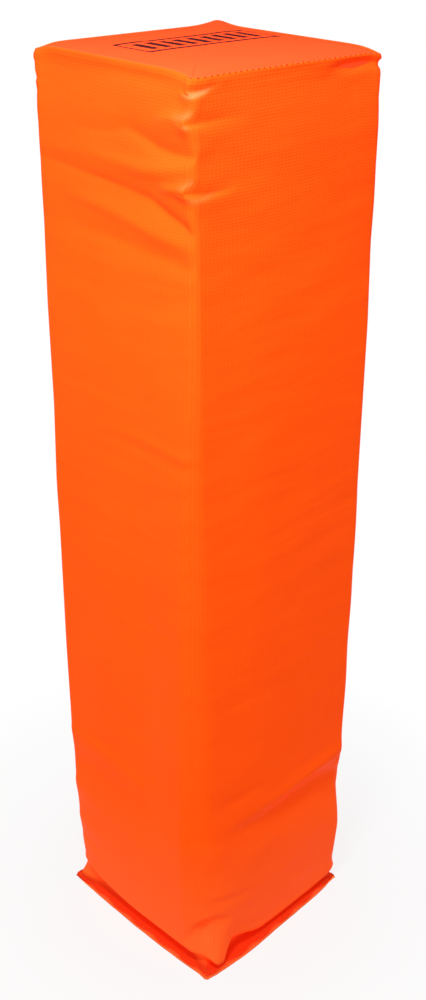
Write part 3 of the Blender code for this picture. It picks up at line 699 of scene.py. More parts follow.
# heights over which the turned-in ends get narrower, towards the hem and towards the top fold
HEM_END_FADE, TOP_END_FADE = (5, 15), (LEDGE_HEIGHT, LEDGE_HEIGHT - 7)
BODY_ROWS = spread((BASE_TOP, 52, 1.6), (52, 112, 2.8), (112, 288, 8), (288, 306, 2.2), (306, 376, 5.5),
                   (376, 392, 1.6), (392, 408, 1.1), (408, 416, 0.5), (416, 438, 1.1), (438, 443, 0.45),
                   (443, 449, 1.0), (449, WALL_TOP, 0.55))


def turned_edge():
    """Depth and height of the rows that go over the top fold and down inside the wall."""
    angles = [i * pi / 6 for i in range(1, 7)]
    arc = [(FOLD_RADIUS * (1 - cos(angle)), WALL_TOP + FOLD_RADIUS * sin(angle)) for angle in angles]
    return arc + [(2 * FOLD_RADIUS, WALL_TOP - TOP_ALLOWANCE * share) for share in (0.25, 0.6, 1.0)]


def wall_at_rest():
    """The outer face of the wall as a grid of points, bottom row first, before it settles."""
    rows = np.repeat(BODY_ROWS[1:, None], len(WALL_S), axis=1)
    x, y, nx, ny = wall_point(rows, swollen(WALL_S, rows))
    grids = [np.stack(base_grid(), axis=-1), np.stack((x, y, rows), axis=-1)]
    # where the wall's ends bend inwards they have no top fold: its rows are squeezed together there
    trimmed = np.minimum(np.abs(nx[-1:]), np.abs(ny[-1:])) > 0.01
    trimmed[:, SEAM_COUNT:-SEAM_COUNT] = False
    for i, (depth, height) in enumerate(turned_edge()):
        inward = np.where(trimmed, 0.0, depth)
        level = np.where(trimmed, WALL_TOP + TRIM_STEP * (i + 1), height)
        beside = np.minimum(level, WALL_TOP)
        x, y, nx, ny = wall_point(beside, swollen(WALL_S, beside))
        grids.append(np.stack((x - nx * inward, y - ny * inward, level), -1))
    points = np.concatenate(grids)
    z = points[..., 2]
    kept = np.maximum(blend(z, *HEM_END_FADE) * blend(z, *TOP_END_FADE), LEAST_KEPT)
    points[..., :2] -= (TURNED_IN * SIDE_ALLOWANCE * kept / sqrt(2))[..., None]
    return points


def cloth_map(points):
    """UV of a grid: along the cloth from the front edge, and up it from the top seam."""
    up_cloth = np.cumsum(np.linalg.norm(np.diff(points, axis=0, prepend=points[:1]), axis=-1), axis=0)
    along_cloth = np.cumsum(np.linalg.norm(np.diff(points, axis=1, prepend=points[:, :1]), axis=-1), axis=1)
    up_cloth -= up_cloth[len(points) - 1 - len(turned_edge())]
    front = int(np.argmin(np.abs(WALL_S)))
    along_cloth -= along_cloth[:, front:front + 1]
    return np.stack((along_cloth, up_cloth), axis=-1).reshape(-1, 2)


# painted highlights on the sharpest bends, a lighter orange where the lamp would glint: points with a
# strength, fade above, fade below, power
PAINTED_CREASE_HIGHLIGHTS = (
    (((-7, 449.4, 0), (-3, 450, 0.20), (0, 450.6, 0.30), (5, 451.6, 0.28), (9, 453.4, 0)), 0.9, 0.7, 2),
    (((-12, 440.4, 0), (-6, 441.4, 0.08), (-1, 443.4, 0.14), (1, 444.4, 0)), 1.8, 1.4, 2),
    (((-5, 438.4, 0), (-2, 438.6, 0.12), (1, 438.8, 0)), 0.8, 0.8, 2),
    (((-8, 414, 0), (-4, 414.8, 0.08), (0, 417, 0.12), (1, 418, 0)), 1.6, 1.2, 2),
    (((-4, 409.6, 0), (0, 410, 0.08), (6, 410.4, 0.08), (12, 412.6, 0)), 1, 1, 2),
)


def make_wall():
    """The sheet, with its UV map and with an attribute that places painted highlights on its sharpest bends.
    """
    rest = wall_at_rest()
    outer = settled(rest)
    wall = sheet_from_grids("wall_sheet", outer, outer - SKIN * grid_normals(outer))
    uv = cloth_map(rest)
    set_uv(wall, np.concatenate((uv, uv)))
    crease_highlight = np.clip(sum(crease(WALL_S, rest[..., 2], *stroke) for stroke in PAINTED_CREASE_HIGHLIGHTS), 0, 1).ravel()
    wall.data.attributes.new("crease_highlight", "FLOAT", "POINT").data.foreach_set("value", np.concatenate((crease_highlight, crease_highlight)))
    return report(wall, "a folded sheet %.0f mm round" % (uv[:, 0].max() - uv[:, 0].min()))


wall_sheet = make_wall()

# %% [markdown]
# ## The top square
#
# The top is a square of the same cloth. Its edge turns down inside the wall's folded edge, and the stitches
# pull both together, so the top is a shallow cushion with a groove round it. Small puckers run in from the
# groove at every few stitches.

# %% Radius of the back corner
def back_round(depth, allowance):
    """Radius of the back corner that clears the upright seam's allowances at a depth under the wall."""
    reach = (sqrt(2) + 1) * SEAM_BEND + GAP / 2
    return (reach + allowance + 2 * GAP - depth) / (sqrt(2) - 1)

# %% Build the top square
TOP_EDGE_RADIUS = 1.0
TOP_CROWN = 1.3
PUCKER, PUCKER_PITCH = 0.16, 9.0
TOP_BACK_RADIUS = back_round(LIP_DEPTH, 0.0) + GAP
TOP_SHARES = np.sin(np.linspace(0.04, 1.0, 34) * pi / 2)
LIP_SHARES = (0.3, 0.65, 1.0)
BACK_LIFT, LIFT_WIDTH, LIFT_HEIGHTS = 1.1, 9.0, (455.0, 456.0)


def top_ring(depth, z, share=1.0):
    """A ring of the top square, whose back corner is pushed up by the two ends of the wall."""
    lift = BACK_LIFT * bump(np.abs(CLOSED_PLACES), BACK, LIFT_WIDTH) * share ** 6
    z = np.asarray(z, float)
    return ring(depth, z + lift * blend(z, *LIFT_HEIGHTS), share, TOP_BACK_RADIUS)


def crown_height(share):
    """How far the top bellies up, at a share of the way from its middle to its edge."""
    return TOP_CROWN * (1 - share ** 5)


def top_height(share):
    """Height of the top's outer face: a low crown, with puckers that fade away from the seam."""
    wave = 1.0 + np.sin(2 * pi * CLOSED_PLACES / PUCKER_PITCH + 2.0 * np.sin(CLOSED_PLACES / 17.0))
    return HEIGHT + crown_height(share) - PUCKER * wave * share ** 18 * (1 - share ** 60)


def top_rings(thickness):
    """Rings of one face of the top square, from the middle to the lower end of its lip."""
    bend = TOP_EDGE_RADIUS - thickness
    rings = [top_ring(LIP_DEPTH + TOP_EDGE_RADIUS, top_height(share) - thickness, share)
             for share in TOP_SHARES]
    for angle in (pi / 8, pi / 4, 3 * pi / 8, pi / 2):
        depth = LIP_DEPTH + TOP_EDGE_RADIUS - bend * sin(angle)
        rings.append(top_ring(depth, HEIGHT - TOP_EDGE_RADIUS + bend * cos(angle)))
    for share in LIP_SHARES:
        height = HEIGHT - TOP_EDGE_RADIUS - share * (TOP_ALLOWANCE - 0.5)
        rings.append(top_ring(LIP_DEPTH + thickness, height))
    return rings


def make_top():
    """The square, its lip and its UV map, which is flat."""
    upper, lower = top_rings(0.0), top_rings(SKIN)
    top = stack("top_square", lower + upper[::-1])
    x, y, nx, ny = plan(CLOSED_PLACES, np.full_like(CLOSED_PLACES, 400.0), 0.0, TOP_BACK_RADIUS)
    flat, outward = np.stack((x, y), axis=-1), np.stack((nx, ny), axis=-1)
    places = [flat * share for share in TOP_SHARES] + [flat + outward * (0.4 + 1.2 * i) for i in range(7)]
    set_uv(top, np.concatenate((*places, *places[::-1], np.zeros((2, 2)))))
    return report(top, "a crowned square")


top_square = make_top()

# %% [markdown]
# ## The bottom square
#
# A flat square under everything, sewn to the hem from outside. Only its edge shows, as the lower layer of
# the flange. The edge waves a little, because the cloth was guided by hand as it was sewn.

# %% Build the bottom square
FLANGE_CORNER = 1.5
BOTTOM_SECTION = (
    (0.05, 0), (0.5, 0), (0.9, 0), (0.98, 0), (0.998, 0.03), (1, 0.18), (1, 0.42), (0.998, 0.56),
    (0.98, 0.6), (0.9, 0.6), (0.5, 0.6), (0.05, 0.6),
)


def flange_edge(inset):
    """x and y of the bottom square's edge, or of a line inside it."""
    s = CLOSED_PLACES
    reach = flange_reach(s) - inset + edge_wave(s + 40.0) + flange_point(s)
    return plan(s, np.zeros_like(s), reach, radius=FLANGE_CORNER)[:2]


def make_bottom():
    """The flat square with its rounded cut edge, and its UV map."""
    x, y = flange_edge(0.0)
    rings, places = [], []
    for share, height in BOTTOM_SECTION:
        rings.append(settle(x * share, y * share, height + tip_lift(x * share, y * share)))
        places.append(np.stack((x * share, y * share), axis=-1))
    bottom = stack("bottom_square", rings)
    set_uv(bottom, np.concatenate((*places, np.zeros((2, 2)))))
    return report(bottom, "a flat square")


bottom_square = make_bottom()

# %% [markdown]
# ## The foam block
#
# Open-cell foam fills the cover and gives it its square shape. It can't be seen, but the model is also
# opened and looked into, so it has the shape that the cover presses it into: edges rounded by the seams,
# and shallow dents behind the folds.

# %% Build the foam block
FOAM_DEPTH = 1.5
FOAM_BOTTOM = 41.2
FOAM_EDGE = 5.0
FOAM_ROOM = 3 * GAP + 0.4
FOAM_BACK_RADIUS = back_round(FOAM_DEPTH, SIDE_ALLOWANCE + SEAM_BEND)


def foam_ring(depth, z, share=1.0, folds=False):
    """A ring of the foam, clear of the upright seam's allowances."""
    return ring(depth, z, share, FOAM_BACK_RADIUS, folds)


def make_foam():
    """The block from its base over the bag to its crown, narrower where the seams are."""
    rings = [foam_ring(FOAM_DEPTH + FOAM_EDGE, FOAM_BOTTOM, share) for share in (0.1, 0.5, 0.85, 1.0)]
    for angle in (pi / 6, pi / 3, pi / 2):
        depth = FOAM_DEPTH + FOAM_EDGE * (1 - sin(angle))
        rings.append(foam_ring(depth, FOAM_BOTTOM + FOAM_EDGE * (1 - cos(angle)), folds=True))
    for height in spread((52, 110, 4), (110, 376, 9), (376, LEDGE_HEIGHT - 2.0, 2.5)):
        rings.append(foam_ring(FOAM_DEPTH, height, folds=True))
    ceiling = HEIGHT - SHEET - GAP - 0.3
    inside = LIP_DEPTH + SHEET + FOAM_ROOM
    rings += [foam_ring(inside, height) for height in (LEDGE_HEIGHT, HEIGHT - 5.0, ceiling - 2.0)]
    rings += [foam_ring(inside + 1.5, ceiling + crown_height(share), share)
              for share in (1.0, 0.97, 0.85, 0.6, 0.3, 0.08)]
    return report(stack("foam_block", rings), "a pressed block")


foam_block = make_foam()

# %% [markdown]
# ## The ballast bag
#
# Two squares of cotton cloth are sewn together round their edges and filled with sand. A bag like this is
# padded fabric, so Blender's cloth does its shape: the ring mesh is blown up with air pressure and no
# gravity, and the cloth pulls its own small folds at the corners. The points may move only a few
# millimetres, and never through the base or into the foam. Then the result is cut at the seam into its two
# squares.

# %% Rings of the bag
BAG_SIDE = 84.0
BAG_SHEET = 0.4
BAG_BOTTOM = SHEET + GAP
BAG_TOP = BAG_BOTTOM + 40.0
BAG_SEAM = BAG_BOTTOM + 17.0
BAG_MARGIN = 3.0
BAG_CORNER = 10.0
CORNER_STEPS, SIDE_POINTS = 6, 18


def rounded_square(half, height):
    """A rounded square with the same number of points on each quarter."""
    corner = BAG_CORNER * half / (BAG_SIDE / 2)
    reach = half - corner
    points = []
    for quarter in range(4):
        start = quarter * pi / 2
        middle = np.array((cos(start + pi / 4), sin(start + pi / 4))) * sqrt(2) * reach
        for i in range(CORNER_STEPS + 1):
            angle = start + i * pi / (2 * CORNER_STEPS)
            points.append(middle + corner * np.array((cos(angle), sin(angle))))
        after = start + pi / 2
        ahead = np.array((cos(after), sin(after))) * half
        side = np.array((-sin(after), cos(after)))
        points += [ahead + side * (reach * (2 * (i + 1) / (SIDE_POINTS + 1) - 1)) for i in range(SIDE_POINTS)]
    return np.column_stack((points, np.full(len(points), height)))


def bag_half(far, edge_share):
    """Rings of one bag square as (half width, height), from its middle at the far height to its seam."""
    side = BAG_SIDE / 2 - BAG_MARGIN
    rise = far - BAG_SEAM
    knots = ((0.05, far), (0.25, far), (0.5, far - 0.01 * rise), (edge_share - 0.16, BAG_SEAM + 0.96 * rise),
             (edge_share, BAG_SEAM + 0.83 * rise), (0.985, BAG_SEAM + 0.45 * rise), (1.0, BAG_SEAM))
    return smooth_curve([(share * side, height) for share, height in knots], (3,) * 6).tolist()

# %% Blow up the bag
BAG_PRESSURE, CLOTH_FRAMES = 3.0, 16
BAG_MOVE = 2.5


def inflate(thing):
    """Run Blender's cloth with air pressure and no gravity. Returns the moved points in millimetres."""
    cloth = thing.modifiers.new("cloth", "CLOTH")
    cloth.settings.quality = 8
    cloth.settings.mass = 0.1
    cloth.settings.use_pressure = True
    cloth.settings.uniform_pressure_force = BAG_PRESSURE
    cloth.settings.effector_weights.gravity = 0.0
    cloth.point_cache.frame_end = CLOTH_FRAMES
    for frame in range(1, CLOTH_FRAMES + 1):
        bpy.context.scene.frame_set(frame)
    evaluated = thing.evaluated_get(bpy.context.evaluated_depsgraph_get())
    moved = np.empty(len(evaluated.data.vertices) * 3)
    evaluated.data.vertices.foreach_get("co", moved)
    thing.modifiers.remove(cloth)
    bpy.context.scene.frame_set(1)
    return moved.reshape(-1, 3) / MM


def bag_shape():
    """The bag's outer face as a list of rings, from the bottom middle to the top middle."""
    lower, upper = bag_half(BAG_BOTTOM, 0.93), bag_half(BAG_TOP, 0.86)
    rings = [rounded_square(*size) for size in lower + upper[-2::-1]]
    draft = stack("bag_draft", rings)
    start = np.concatenate(rings)
    move = inflate(draft)[:len(start)] - start
    bpy.data.objects.remove(draft)
    length = np.linalg.norm(move, axis=1, keepdims=True)
    move *= np.minimum(1.0, BAG_MOVE / np.maximum(length, 1e-9))
    moved = start + move
    moved[:, 2] = np.clip(moved[:, 2], BAG_BOTTOM, BAG_TOP)
    print("bag: points moved by up to %.2f mm" % np.abs(move).max())
    return list(moved.reshape(len(rings), -1, 3)), len(lower) - 1


bag_rings, bag_seam_index = bag_shape()

# %% Cut the bag at its seam
SEAM_HALF = BAG_SHEET + GAP / 2
# the margin's small waves: their height, and the points from one crest to the next
FRILL, FRILL_POINTS = 0.25, 9.0


def seam_margin(ring_at_seam, level):
    """The flat margin outside the seam, as one ring at the given height."""
    middle = ring_at_seam[:, :2].mean(axis=0)
    out = ring_at_seam[:, :2] - middle
    out *= (1 + BAG_MARGIN / np.linalg.norm(out, axis=1, keepdims=True))
    frill = FRILL * np.sin(np.arange(len(out)) * 2 * pi / FRILL_POINTS)
    return np.column_stack((middle + out, np.full(len(out), level) + frill * (level > BAG_SEAM)))


def bag_square(name, rings, level, sign):
    """One square from its rings, middle to seam. Sign is 1 for the upper square and -1 for the lower."""
    rings = [r.copy() for r in rings]
    rings[-1][:, 2] = level
    outer = rings + [seam_margin(rings[-1], level)]
    grid = np.array(outer)
    inner = list(grid + sign * BAG_SHEET * grid_normals(grid, looped=True))
    faces = inner + outer[::-1] if sign > 0 else outer + inner[::-1]
    return report(stack(name, [settled(r) for r in faces]), "a cotton square drawn out by the sand")


bag_lower = bag_square("bag_lower_square", bag_rings[:bag_seam_index + 1], BAG_SEAM - SEAM_HALF, -1)
bag_upper = bag_square("bag_upper_square", bag_rings[:bag_seam_index - 1:-1], BAG_SEAM + SEAM_HALF, 1)

# %% [markdown]
# ## The sand
#
# The sand takes the bag's inner shape, with a slightly uneven surface where the grains have run.

# %% Build the sand
SAND_SHARE = np.array((0.955, 0.955, 0.93))
LUMP, LUMP_WIDTHS = 0.25, (5.0, 6.0)


def make_sand():
    """The bag's rings drawn in, with lumps on the upper half."""
    middle = np.array((0.0, 0.0, BAG_SEAM))
    rings = []
    for r in bag_rings:
        spot = middle + (r - middle) * SAND_SHARE
        lumps = LUMP * np.sin(spot[:, 0] / LUMP_WIDTHS[0] + 1.0) * np.sin(spot[:, 1] / LUMP_WIDTHS[1])
        spot[:, 2] += lumps * (spot[:, 2] > BAG_SEAM)
        rings.append(settled(spot))
    return report(stack("sand_fill", rings), "loose sand as one body")


sand_fill = make_sand()

# %% [markdown]
# ## Stitches
#
# A seam is the same stitch again and again along a line. That is what Geometry Nodes are good at: the tree
# turns a line into points one stitch apart, puts a small rounded thread on each, turned along the line, and
# makes it all real. The same tree serves all four seams, with its three sizes as inputs.

# %% Stitch tree
def fill(tree, node, inputs):
    """Fill a node's inputs, by name or in order. A value is set, and another node's output is linked."""
    for place, value in inputs.items() if isinstance(inputs, dict) else enumerate(inputs):
        if isinstance(value, bpy.types.NodeSocket):
            tree.links.new(value, node.inputs[place])
        else:
            node.inputs[place].default_value = value


def add(tree, kind, inputs=(), output=0, **settings):
    """Add one node with its inputs and settings, and return one output. "Math" means ShaderNodeMath."""
    node = tree.nodes.new(kind if "Node" in kind else "ShaderNode" + kind)
    for name, value in settings.items():
        setattr(node, name, value)
    fill(tree, node, inputs)
    return node.outputs[output]


def stitch_tree(name, material):
    """A tree that lays stitches along the edges of a mesh."""
    tree = bpy.data.node_groups.new(name, "GeometryNodeTree")
    tree.interface.new_socket("Seam line", in_out="INPUT", socket_type="NodeSocketGeometry")
    for label in ("Pitch", "Stitch length", "Thread radius"):
        tree.interface.new_socket(label, in_out="INPUT", socket_type="NodeSocketFloat")
    tree.interface.new_socket("Stitches", in_out="OUTPUT", socket_type="NodeSocketGeometry")
    given = tree.nodes.new("NodeGroupInput").outputs
    radius = given["Thread radius"]
    line = add(tree, "GeometryNodeMeshToCurve", {"Mesh": given["Seam line"]})
    points = add(tree, "GeometryNodeResampleCurve", {"Curve": line, "Length": given["Pitch"]}, mode="LENGTH")
    tangent = add(tree, "GeometryNodeInputTangent")
    turn = add(tree, "FunctionNodeAlignRotationToVector", {"Vector": tangent}, axis="X")
    size = add(tree, "CombineXYZ", (given["Stitch length"], radius, radius))
    thread = add(tree, "GeometryNodeMeshUVSphere", {"Segments": 8, "Rings": 7, "Radius": 1.0})
    laid = add(tree, "GeometryNodeInstanceOnPoints", {
        "Points": points, "Instance": thread, "Rotation": turn, "Scale": size})
    real = add(tree, "GeometryNodeRealizeInstances", {"Geometry": laid})
    smooth = add(tree, "GeometryNodeSetShadeSmooth", {"Geometry": real})
    done = add(tree, "GeometryNodeSetMaterial", {"Geometry": smooth, "Material": material})
    fill(tree, tree.nodes.new("NodeGroupOutput"), {"Stitches": done})
    return tree

# %% Lay the stitches
def lay_stitches(name, line, tree, sizes, closed=True):
    """Stitches along a line of points, as one mesh. Sizes are pitch, stitch length and thread radius."""
    edges = [(i, i + 1) for i in range(len(line) - 1)] + ([(len(line) - 1, 0)] if closed else [])
    draft = mesh_object(name + "_line", line, edges)
    modifier = draft.modifiers.new("stitches", "NODES")
    modifier.node_group = tree
    pitch, length, radius = sizes
    inputs = {item.name: item.identifier for item in tree.interface.items_tree if item.in_out == "INPUT"}
    for label, size in (("Pitch", pitch), ("Stitch length", length / 2), ("Thread radius", radius)):
        modifier[inputs[label]] = size * MM
    evaluated = draft.evaluated_get(bpy.context.evaluated_depsgraph_get())
    stitches = put(name, bpy.data.meshes.new_from_object(evaluated))
    draft.modifiers.remove(modifier)
    bpy.data.objects.remove(draft)
    return report(stitches, "stitches %.1f mm apart" % pitch)


THREAD_RADIUS = 0.2
FIRST_BEND, SIDE_STITCHES = 3, np.arange(30.0, 446.0, 6.0)
SIDE_SEAM_INSET, BASE_SEAM_INSET, TOP_SEAM_DROP = 1.2, 1.0, 2.5


def side_seam_line():
    """Along the first allowance of the upright seam, inside the back corner."""
    i = FIRST_BEND
    out = swell(WALL_S[i], SIDE_STITCHES)
    depth = SHEET + GAP + THREAD_RADIUS
    inset = SIDE_SEAM_INSET / sqrt(2)
    x = SEAM_X[i] + out - inset - SEAM_NX[i] * depth
    y = SEAM_Y[i] + out - inset - SEAM_NY[i] * depth
    return settle(x, y, SIDE_STITCHES)


def base_seam_line():
    """Round the top of the flange."""
    x, y = flange_edge(BASE_SEAM_INSET)
    return settle(x, y, HEM_TOP + 0.3 + GAP + THREAD_RADIUS + tip_lift(x, y))


def top_seam_line():
    """Round the inner face of the top square's turned-down lip."""
    return top_ring(LIP_DEPTH + SHEET + GAP + THREAD_RADIUS, HEIGHT - TOP_SEAM_DROP)


def bag_seam_line():
    """Round the margin of the ballast bag."""
    at_seam = bag_rings[bag_seam_index]
    line = 0.5 * (at_seam + seam_margin(at_seam, BAG_SEAM))
    line[:, 2] = BAG_SEAM + SEAM_HALF + GAP + THREAD_RADIUS
    return settled(line)

# %% [markdown]
# ## Materials
#
# Every colour is written as the hex code that a picture of the real thing shows, and one function turns it
# to the linear numbers that Blender calculates with.

# %% Material helpers
# a Mix node takes its share in socket 0 and its colours in 6 and 7, and gives the mixed colour in output 2
MIX = {"data_type": "RGBA", "output": 2}
MULTIPLY = {"data_type": "RGBA", "output": 2, "blend_type": "MULTIPLY"}
BLACK, WHITE = (0, 0, 0, 1), (1, 1, 1, 1)


def linear(code):
    """A hex colour as linear red, green, blue and alpha."""
    parts = [int(code[i:i + 2], 16) / 255 for i in (1, 3, 5)]
    return [p / 12.92 if p <= 0.04045 else ((p + 0.055) / 1.055) ** 2.4 for p in parts] + [1.0]


def new_material(name, colour, roughness, specular=0.5, ior=1.5):
    """A material with its tree, its shader, which holds all uniform values, and its Object coordinates."""
    material = bpy.data.materials.new(name)
    material.use_nodes = True
    tree = material.node_tree
    shader = tree.nodes["Principled BSDF"]
    fill(tree, shader, {
        "Base Color": linear(colour), "Roughness": roughness, "Specular IOR Level": specular, "IOR": ior})
    return material, tree, shader, add(tree, "TexCoord", output="Object")


def wave_scale(pitch):
    """Scale of a banded Wave texture whose bands are pitch millimetres apart."""
    return 2 * pi / (20 * pitch * MM)


def woven(tree, place, pitches, shape):
    """Crossing threads: the waves of the warp times the waves of the weft."""
    threads = [add(tree, "TexWave", {"Vector": place, "Scale": wave_scale(pitch), **shape}, "Fac",
                   bands_direction=direction) for direction, pitch in zip("XY", pitches)]
    return add(tree, "Math", threads, operation="MULTIPLY")

# %% [markdown]
# ### PVC-coated polyester
#
# The cover is scrim-reinforced vinyl: a polyester grid, spread with soft orange PVC and pressed smooth. To
# the eye it is a satin orange skin. The grid of threads shows through faintly as tiny cells, 2 mm wide and
# 1.3 mm high, and a fine grain breaks up the gloss. The dye is fluorescent: it turns blue light into orange
# light. Here an emission of the dye's own colour stands in for that: a painted glow, the same whatever light
# falls, that keeps the shaded side bright.

# %% Coated cloth
SCRIM_PITCHES = (2.0, 1.3)
# the top colour is painted shade, darker than the base colour, and the dusty tint is painted light from the
# floor
SHADED_TOP_DYE, DYE_BASE, PAINTED_FLOOR_LIGHT = "#ff691a", "#ff741a", "#ff8c46"
# a painted glow of the dye's colour, the same whatever light falls on it
PAINTED_GLOW_DYE, PAINTED_GLOW_STRENGTH = "#ff2800", 0.60
# heights in metres between which one thing turns to another
TOP_SHADE_HEIGHTS, FLOOR_LIGHT_HEIGHTS, FLANGE_SHADE_HEIGHTS = (0.36, 0.43), (0.09, 0.02), (0.007, 0.003)
RIM_HIGHLIGHT_HEIGHTS = ((0.0016, 0.0013), (0.0004, 0.0007))
# painted shade on the flange and in the crease under the roll
FLANGE_SHADE_TONE, FLANGE_SHADE = (0.86, 0.26, 0.28, 1.0), 0.70
# a painted highlight on the upper layer's cut edge
RIM_HIGHLIGHT_DYE, RIM_HIGHLIGHT_GLOW = "#ff9050", "#ff6420"
# painted highlight on the sharpest bends, and painted shade in the needle holes
CREASE_HIGHLIGHT_DYE, HOLE_SHADE_DYE = "#ffc890", "#b02808"
HOLE_PITCH, HOLE_HEIGHT, HOLE_RADII = 3.0, 0.9, (0.45, 0.5)


def needle_holes(tree, cloth):
    """1 in the holes along the fold of the top seam, which are pulled open on the right side. The holes are
    painted dark, as painted shade inside them.
    """
    along, up_cloth, _ = add(tree, "SeparateXYZ", (cloth,)).node.outputs
    from_hole = add(tree, "Math", (along, HOLE_PITCH / 2 * MM), operation="PINGPONG")
    hole = add(tree, "Math", (from_hole, HOLE_RADII[0] * MM), operation="LESS_THAN")
    row = add(tree, "Math", (up_cloth, HOLE_HEIGHT * MM, HOLE_RADII[1] * MM), operation="COMPARE")
    hole = add(tree, "Math", (hole, row), operation="MULTIPLY")
    on_right = add(tree, "Math", (along, 0.0), operation="GREATER_THAN")
    return add(tree, "Math", (hole, on_right), operation="MULTIPLY")


def coated_cloth(name, specular=0.01):
    """The cover's cloth. Returns its material, tree, shader, UV map and colour."""
    material, tree, shader, place = new_material(name, SHADED_TOP_DYE, 0.30, specular, 1.53)
    cloth = add(tree, "UVMap", uv_map="cloth")
    height = add(tree, "SeparateXYZ", (place,), "Z")
    # painted shade: the top of the cover is painted a darker, redder orange against the lamp's stronger light
    # there; a Map Range takes its value, from, from, to and to
    share = add(tree, "MapRange", (height, *TOP_SHADE_HEIGHTS))
    dye = add(tree, "Mix", {0: share, 6: linear(DYE_BASE), 7: linear(SHADED_TOP_DYE)}, **MIX)
    # painted light: the lowest centimetres are painted paler and pinker, the white floor's bounced and
    # reflected light
    floor_light = add(tree, "MapRange", (height, *FLOOR_LIGHT_HEIGHTS, 0.0, 0.6))
    dye = add(tree, "Mix", {0: floor_light, 6: dye, 7: linear(PAINTED_FLOOR_LIGHT)}, **MIX)
    # thickness of the coating varies a little over a few centimetres
    patches = add(tree, "TexNoise", {"Vector": place, "Scale": 38.0, "Detail": 3.0})
    tone = add(tree, "MapRange", (patches, 0.3, 0.7, 0.97, 1.03))
    dye = add(tree, "Mix", {0: 1.0, 6: dye, 7: tone}, **MULTIPLY)
    # the flange is two layers pressed together; it and the crease under the body's roll are painted a deeper,
    # darker red and glow less, painted shade under the overhang
    flange_shade = add(tree, "MapRange", (height, *FLANGE_SHADE_HEIGHTS))
    dye = add(tree, "Mix", {0: flange_shade, 6: dye, 7: FLANGE_SHADE_TONE}, **MULTIPLY)
    shaded = add(tree, "Math", (flange_shade, FLANGE_SHADE), operation="MULTIPLY")
    painted_glow = add(tree, "Mix", {0: shaded, 6: linear(PAINTED_GLOW_DYE), 7: BLACK}, **MIX)
    # the upper layer's cut edge is painted lighter and glows brighter, a painted highlight; the lower layer
    # under it isn't
    bounds = [add(tree, "MapRange", (height, *heights)) for heights in RIM_HIGHLIGHT_HEIGHTS]
    painted_edge_highlight = add(tree, "Math", bounds, operation="MULTIPLY")
    painted_glow = add(tree, "Mix", {0: painted_edge_highlight, 6: painted_glow, 7: linear(RIM_HIGHLIGHT_GLOW)}, **MIX)
    # the edge's painted highlight, painted highlights on the sharpest bends, which the wall's mesh marks, and
    # the needle holes painted dark as shade
    crease_highlight = add(tree, "Attribute", output="Fac", attribute_name="crease_highlight")
    for where, colour in ((painted_edge_highlight, RIM_HIGHLIGHT_DYE), (crease_highlight, CREASE_HIGHLIGHT_DYE), (needle_holes(tree, cloth), HOLE_SHADE_DYE)):
        dye = add(tree, "Mix", {0: where, 6: dye, 7: linear(colour)}, **MIX)
    # the scrim's threads, seen through the coating
    scrim = woven(tree, cloth, SCRIM_PITCHES, {"Distortion": 0.4, "Detail Scale": 2.0})
    threads = add(tree, "MapRange", (scrim, 0.0, 1.0, 1.03, 0.87))
    dye = add(tree, "Mix", {0: 1.0, 6: dye, 7: threads}, **MULTIPLY)
    # soft ripples of the sheet that run round the pylon, 10 mm apart, and the coating's grain, 0.5 mm
    drawn_out = add(tree, "Mapping", {"Vector": cloth, "Scale": (0.28, 1.0, 1.0)})
    ripple = add(tree, "TexNoise", {"Vector": drawn_out, "Scale": 80.0, "Detail": 2.0, "Roughness": 0.4})
    grain = add(tree, "TexNoise", {"Vector": place, "Scale": 1500.0, "Detail": 2.0})
    normal = add(tree, "Bump", {"Strength": 0.9, "Distance": 1.0 * MM, "Height": ripple})
    for strength, depth, pattern in ((0.5, 0.12, scrim), (0.4, 0.05, grain)):
        normal = add(tree, "Bump", {
            "Strength": strength, "Distance": depth * MM, "Height": pattern, "Normal": normal})
    gloss = add(tree, "MapRange", (grain, 0.3, 0.7, 0.26, 0.35))
    fill(tree, shader, {"Base Color": dye, "Roughness": gloss, "Normal": normal,
                        "Emission Color": painted_glow, "Emission Strength": PAINTED_GLOW_STRENGTH})
    return material, tree, shader, cloth, dye


wall_cloth = coated_cloth("pvc_coated_polyester")[0]

# %% [markdown]
# ### The printed top
#
# A plain mark is printed on the top: an outlined bar with even ticks, like the yard lines of a field. It is
# drawn by arithmetic on the square's own UV map, so it lies on the cloth like ink.

# %% Printed cloth for the top
# the top tone is a painted sheen and painted shade
INK, TOP_SHEEN_AND_SHADE, TOP_SHEEN_AND_SHADE_SHARE = "#33222c", "#ff6034", 0.85
MARK_CENTRE = (1.0, 7.5)
MARK_SIZE = (76.0, 26.0)
MARK_LINES = (1.3, 2.4)
TICK_MARGINS = (6.0, 5.5)
TICK_PITCH, TICK_WIDTH = 7.5, 2.1


def box_mask(tree, places, margins=(0.0, 0.0)):
    """1 inside the mark's rectangle, drawn in by its margins, and 0 outside."""
    inside = [add(tree, "Math", (place, 0.0, (size / 2 - margin) * MM), operation="COMPARE")
              for place, size, margin in zip(places, MARK_SIZE, margins)]
    return add(tree, "Math", inside, operation="MULTIPLY")


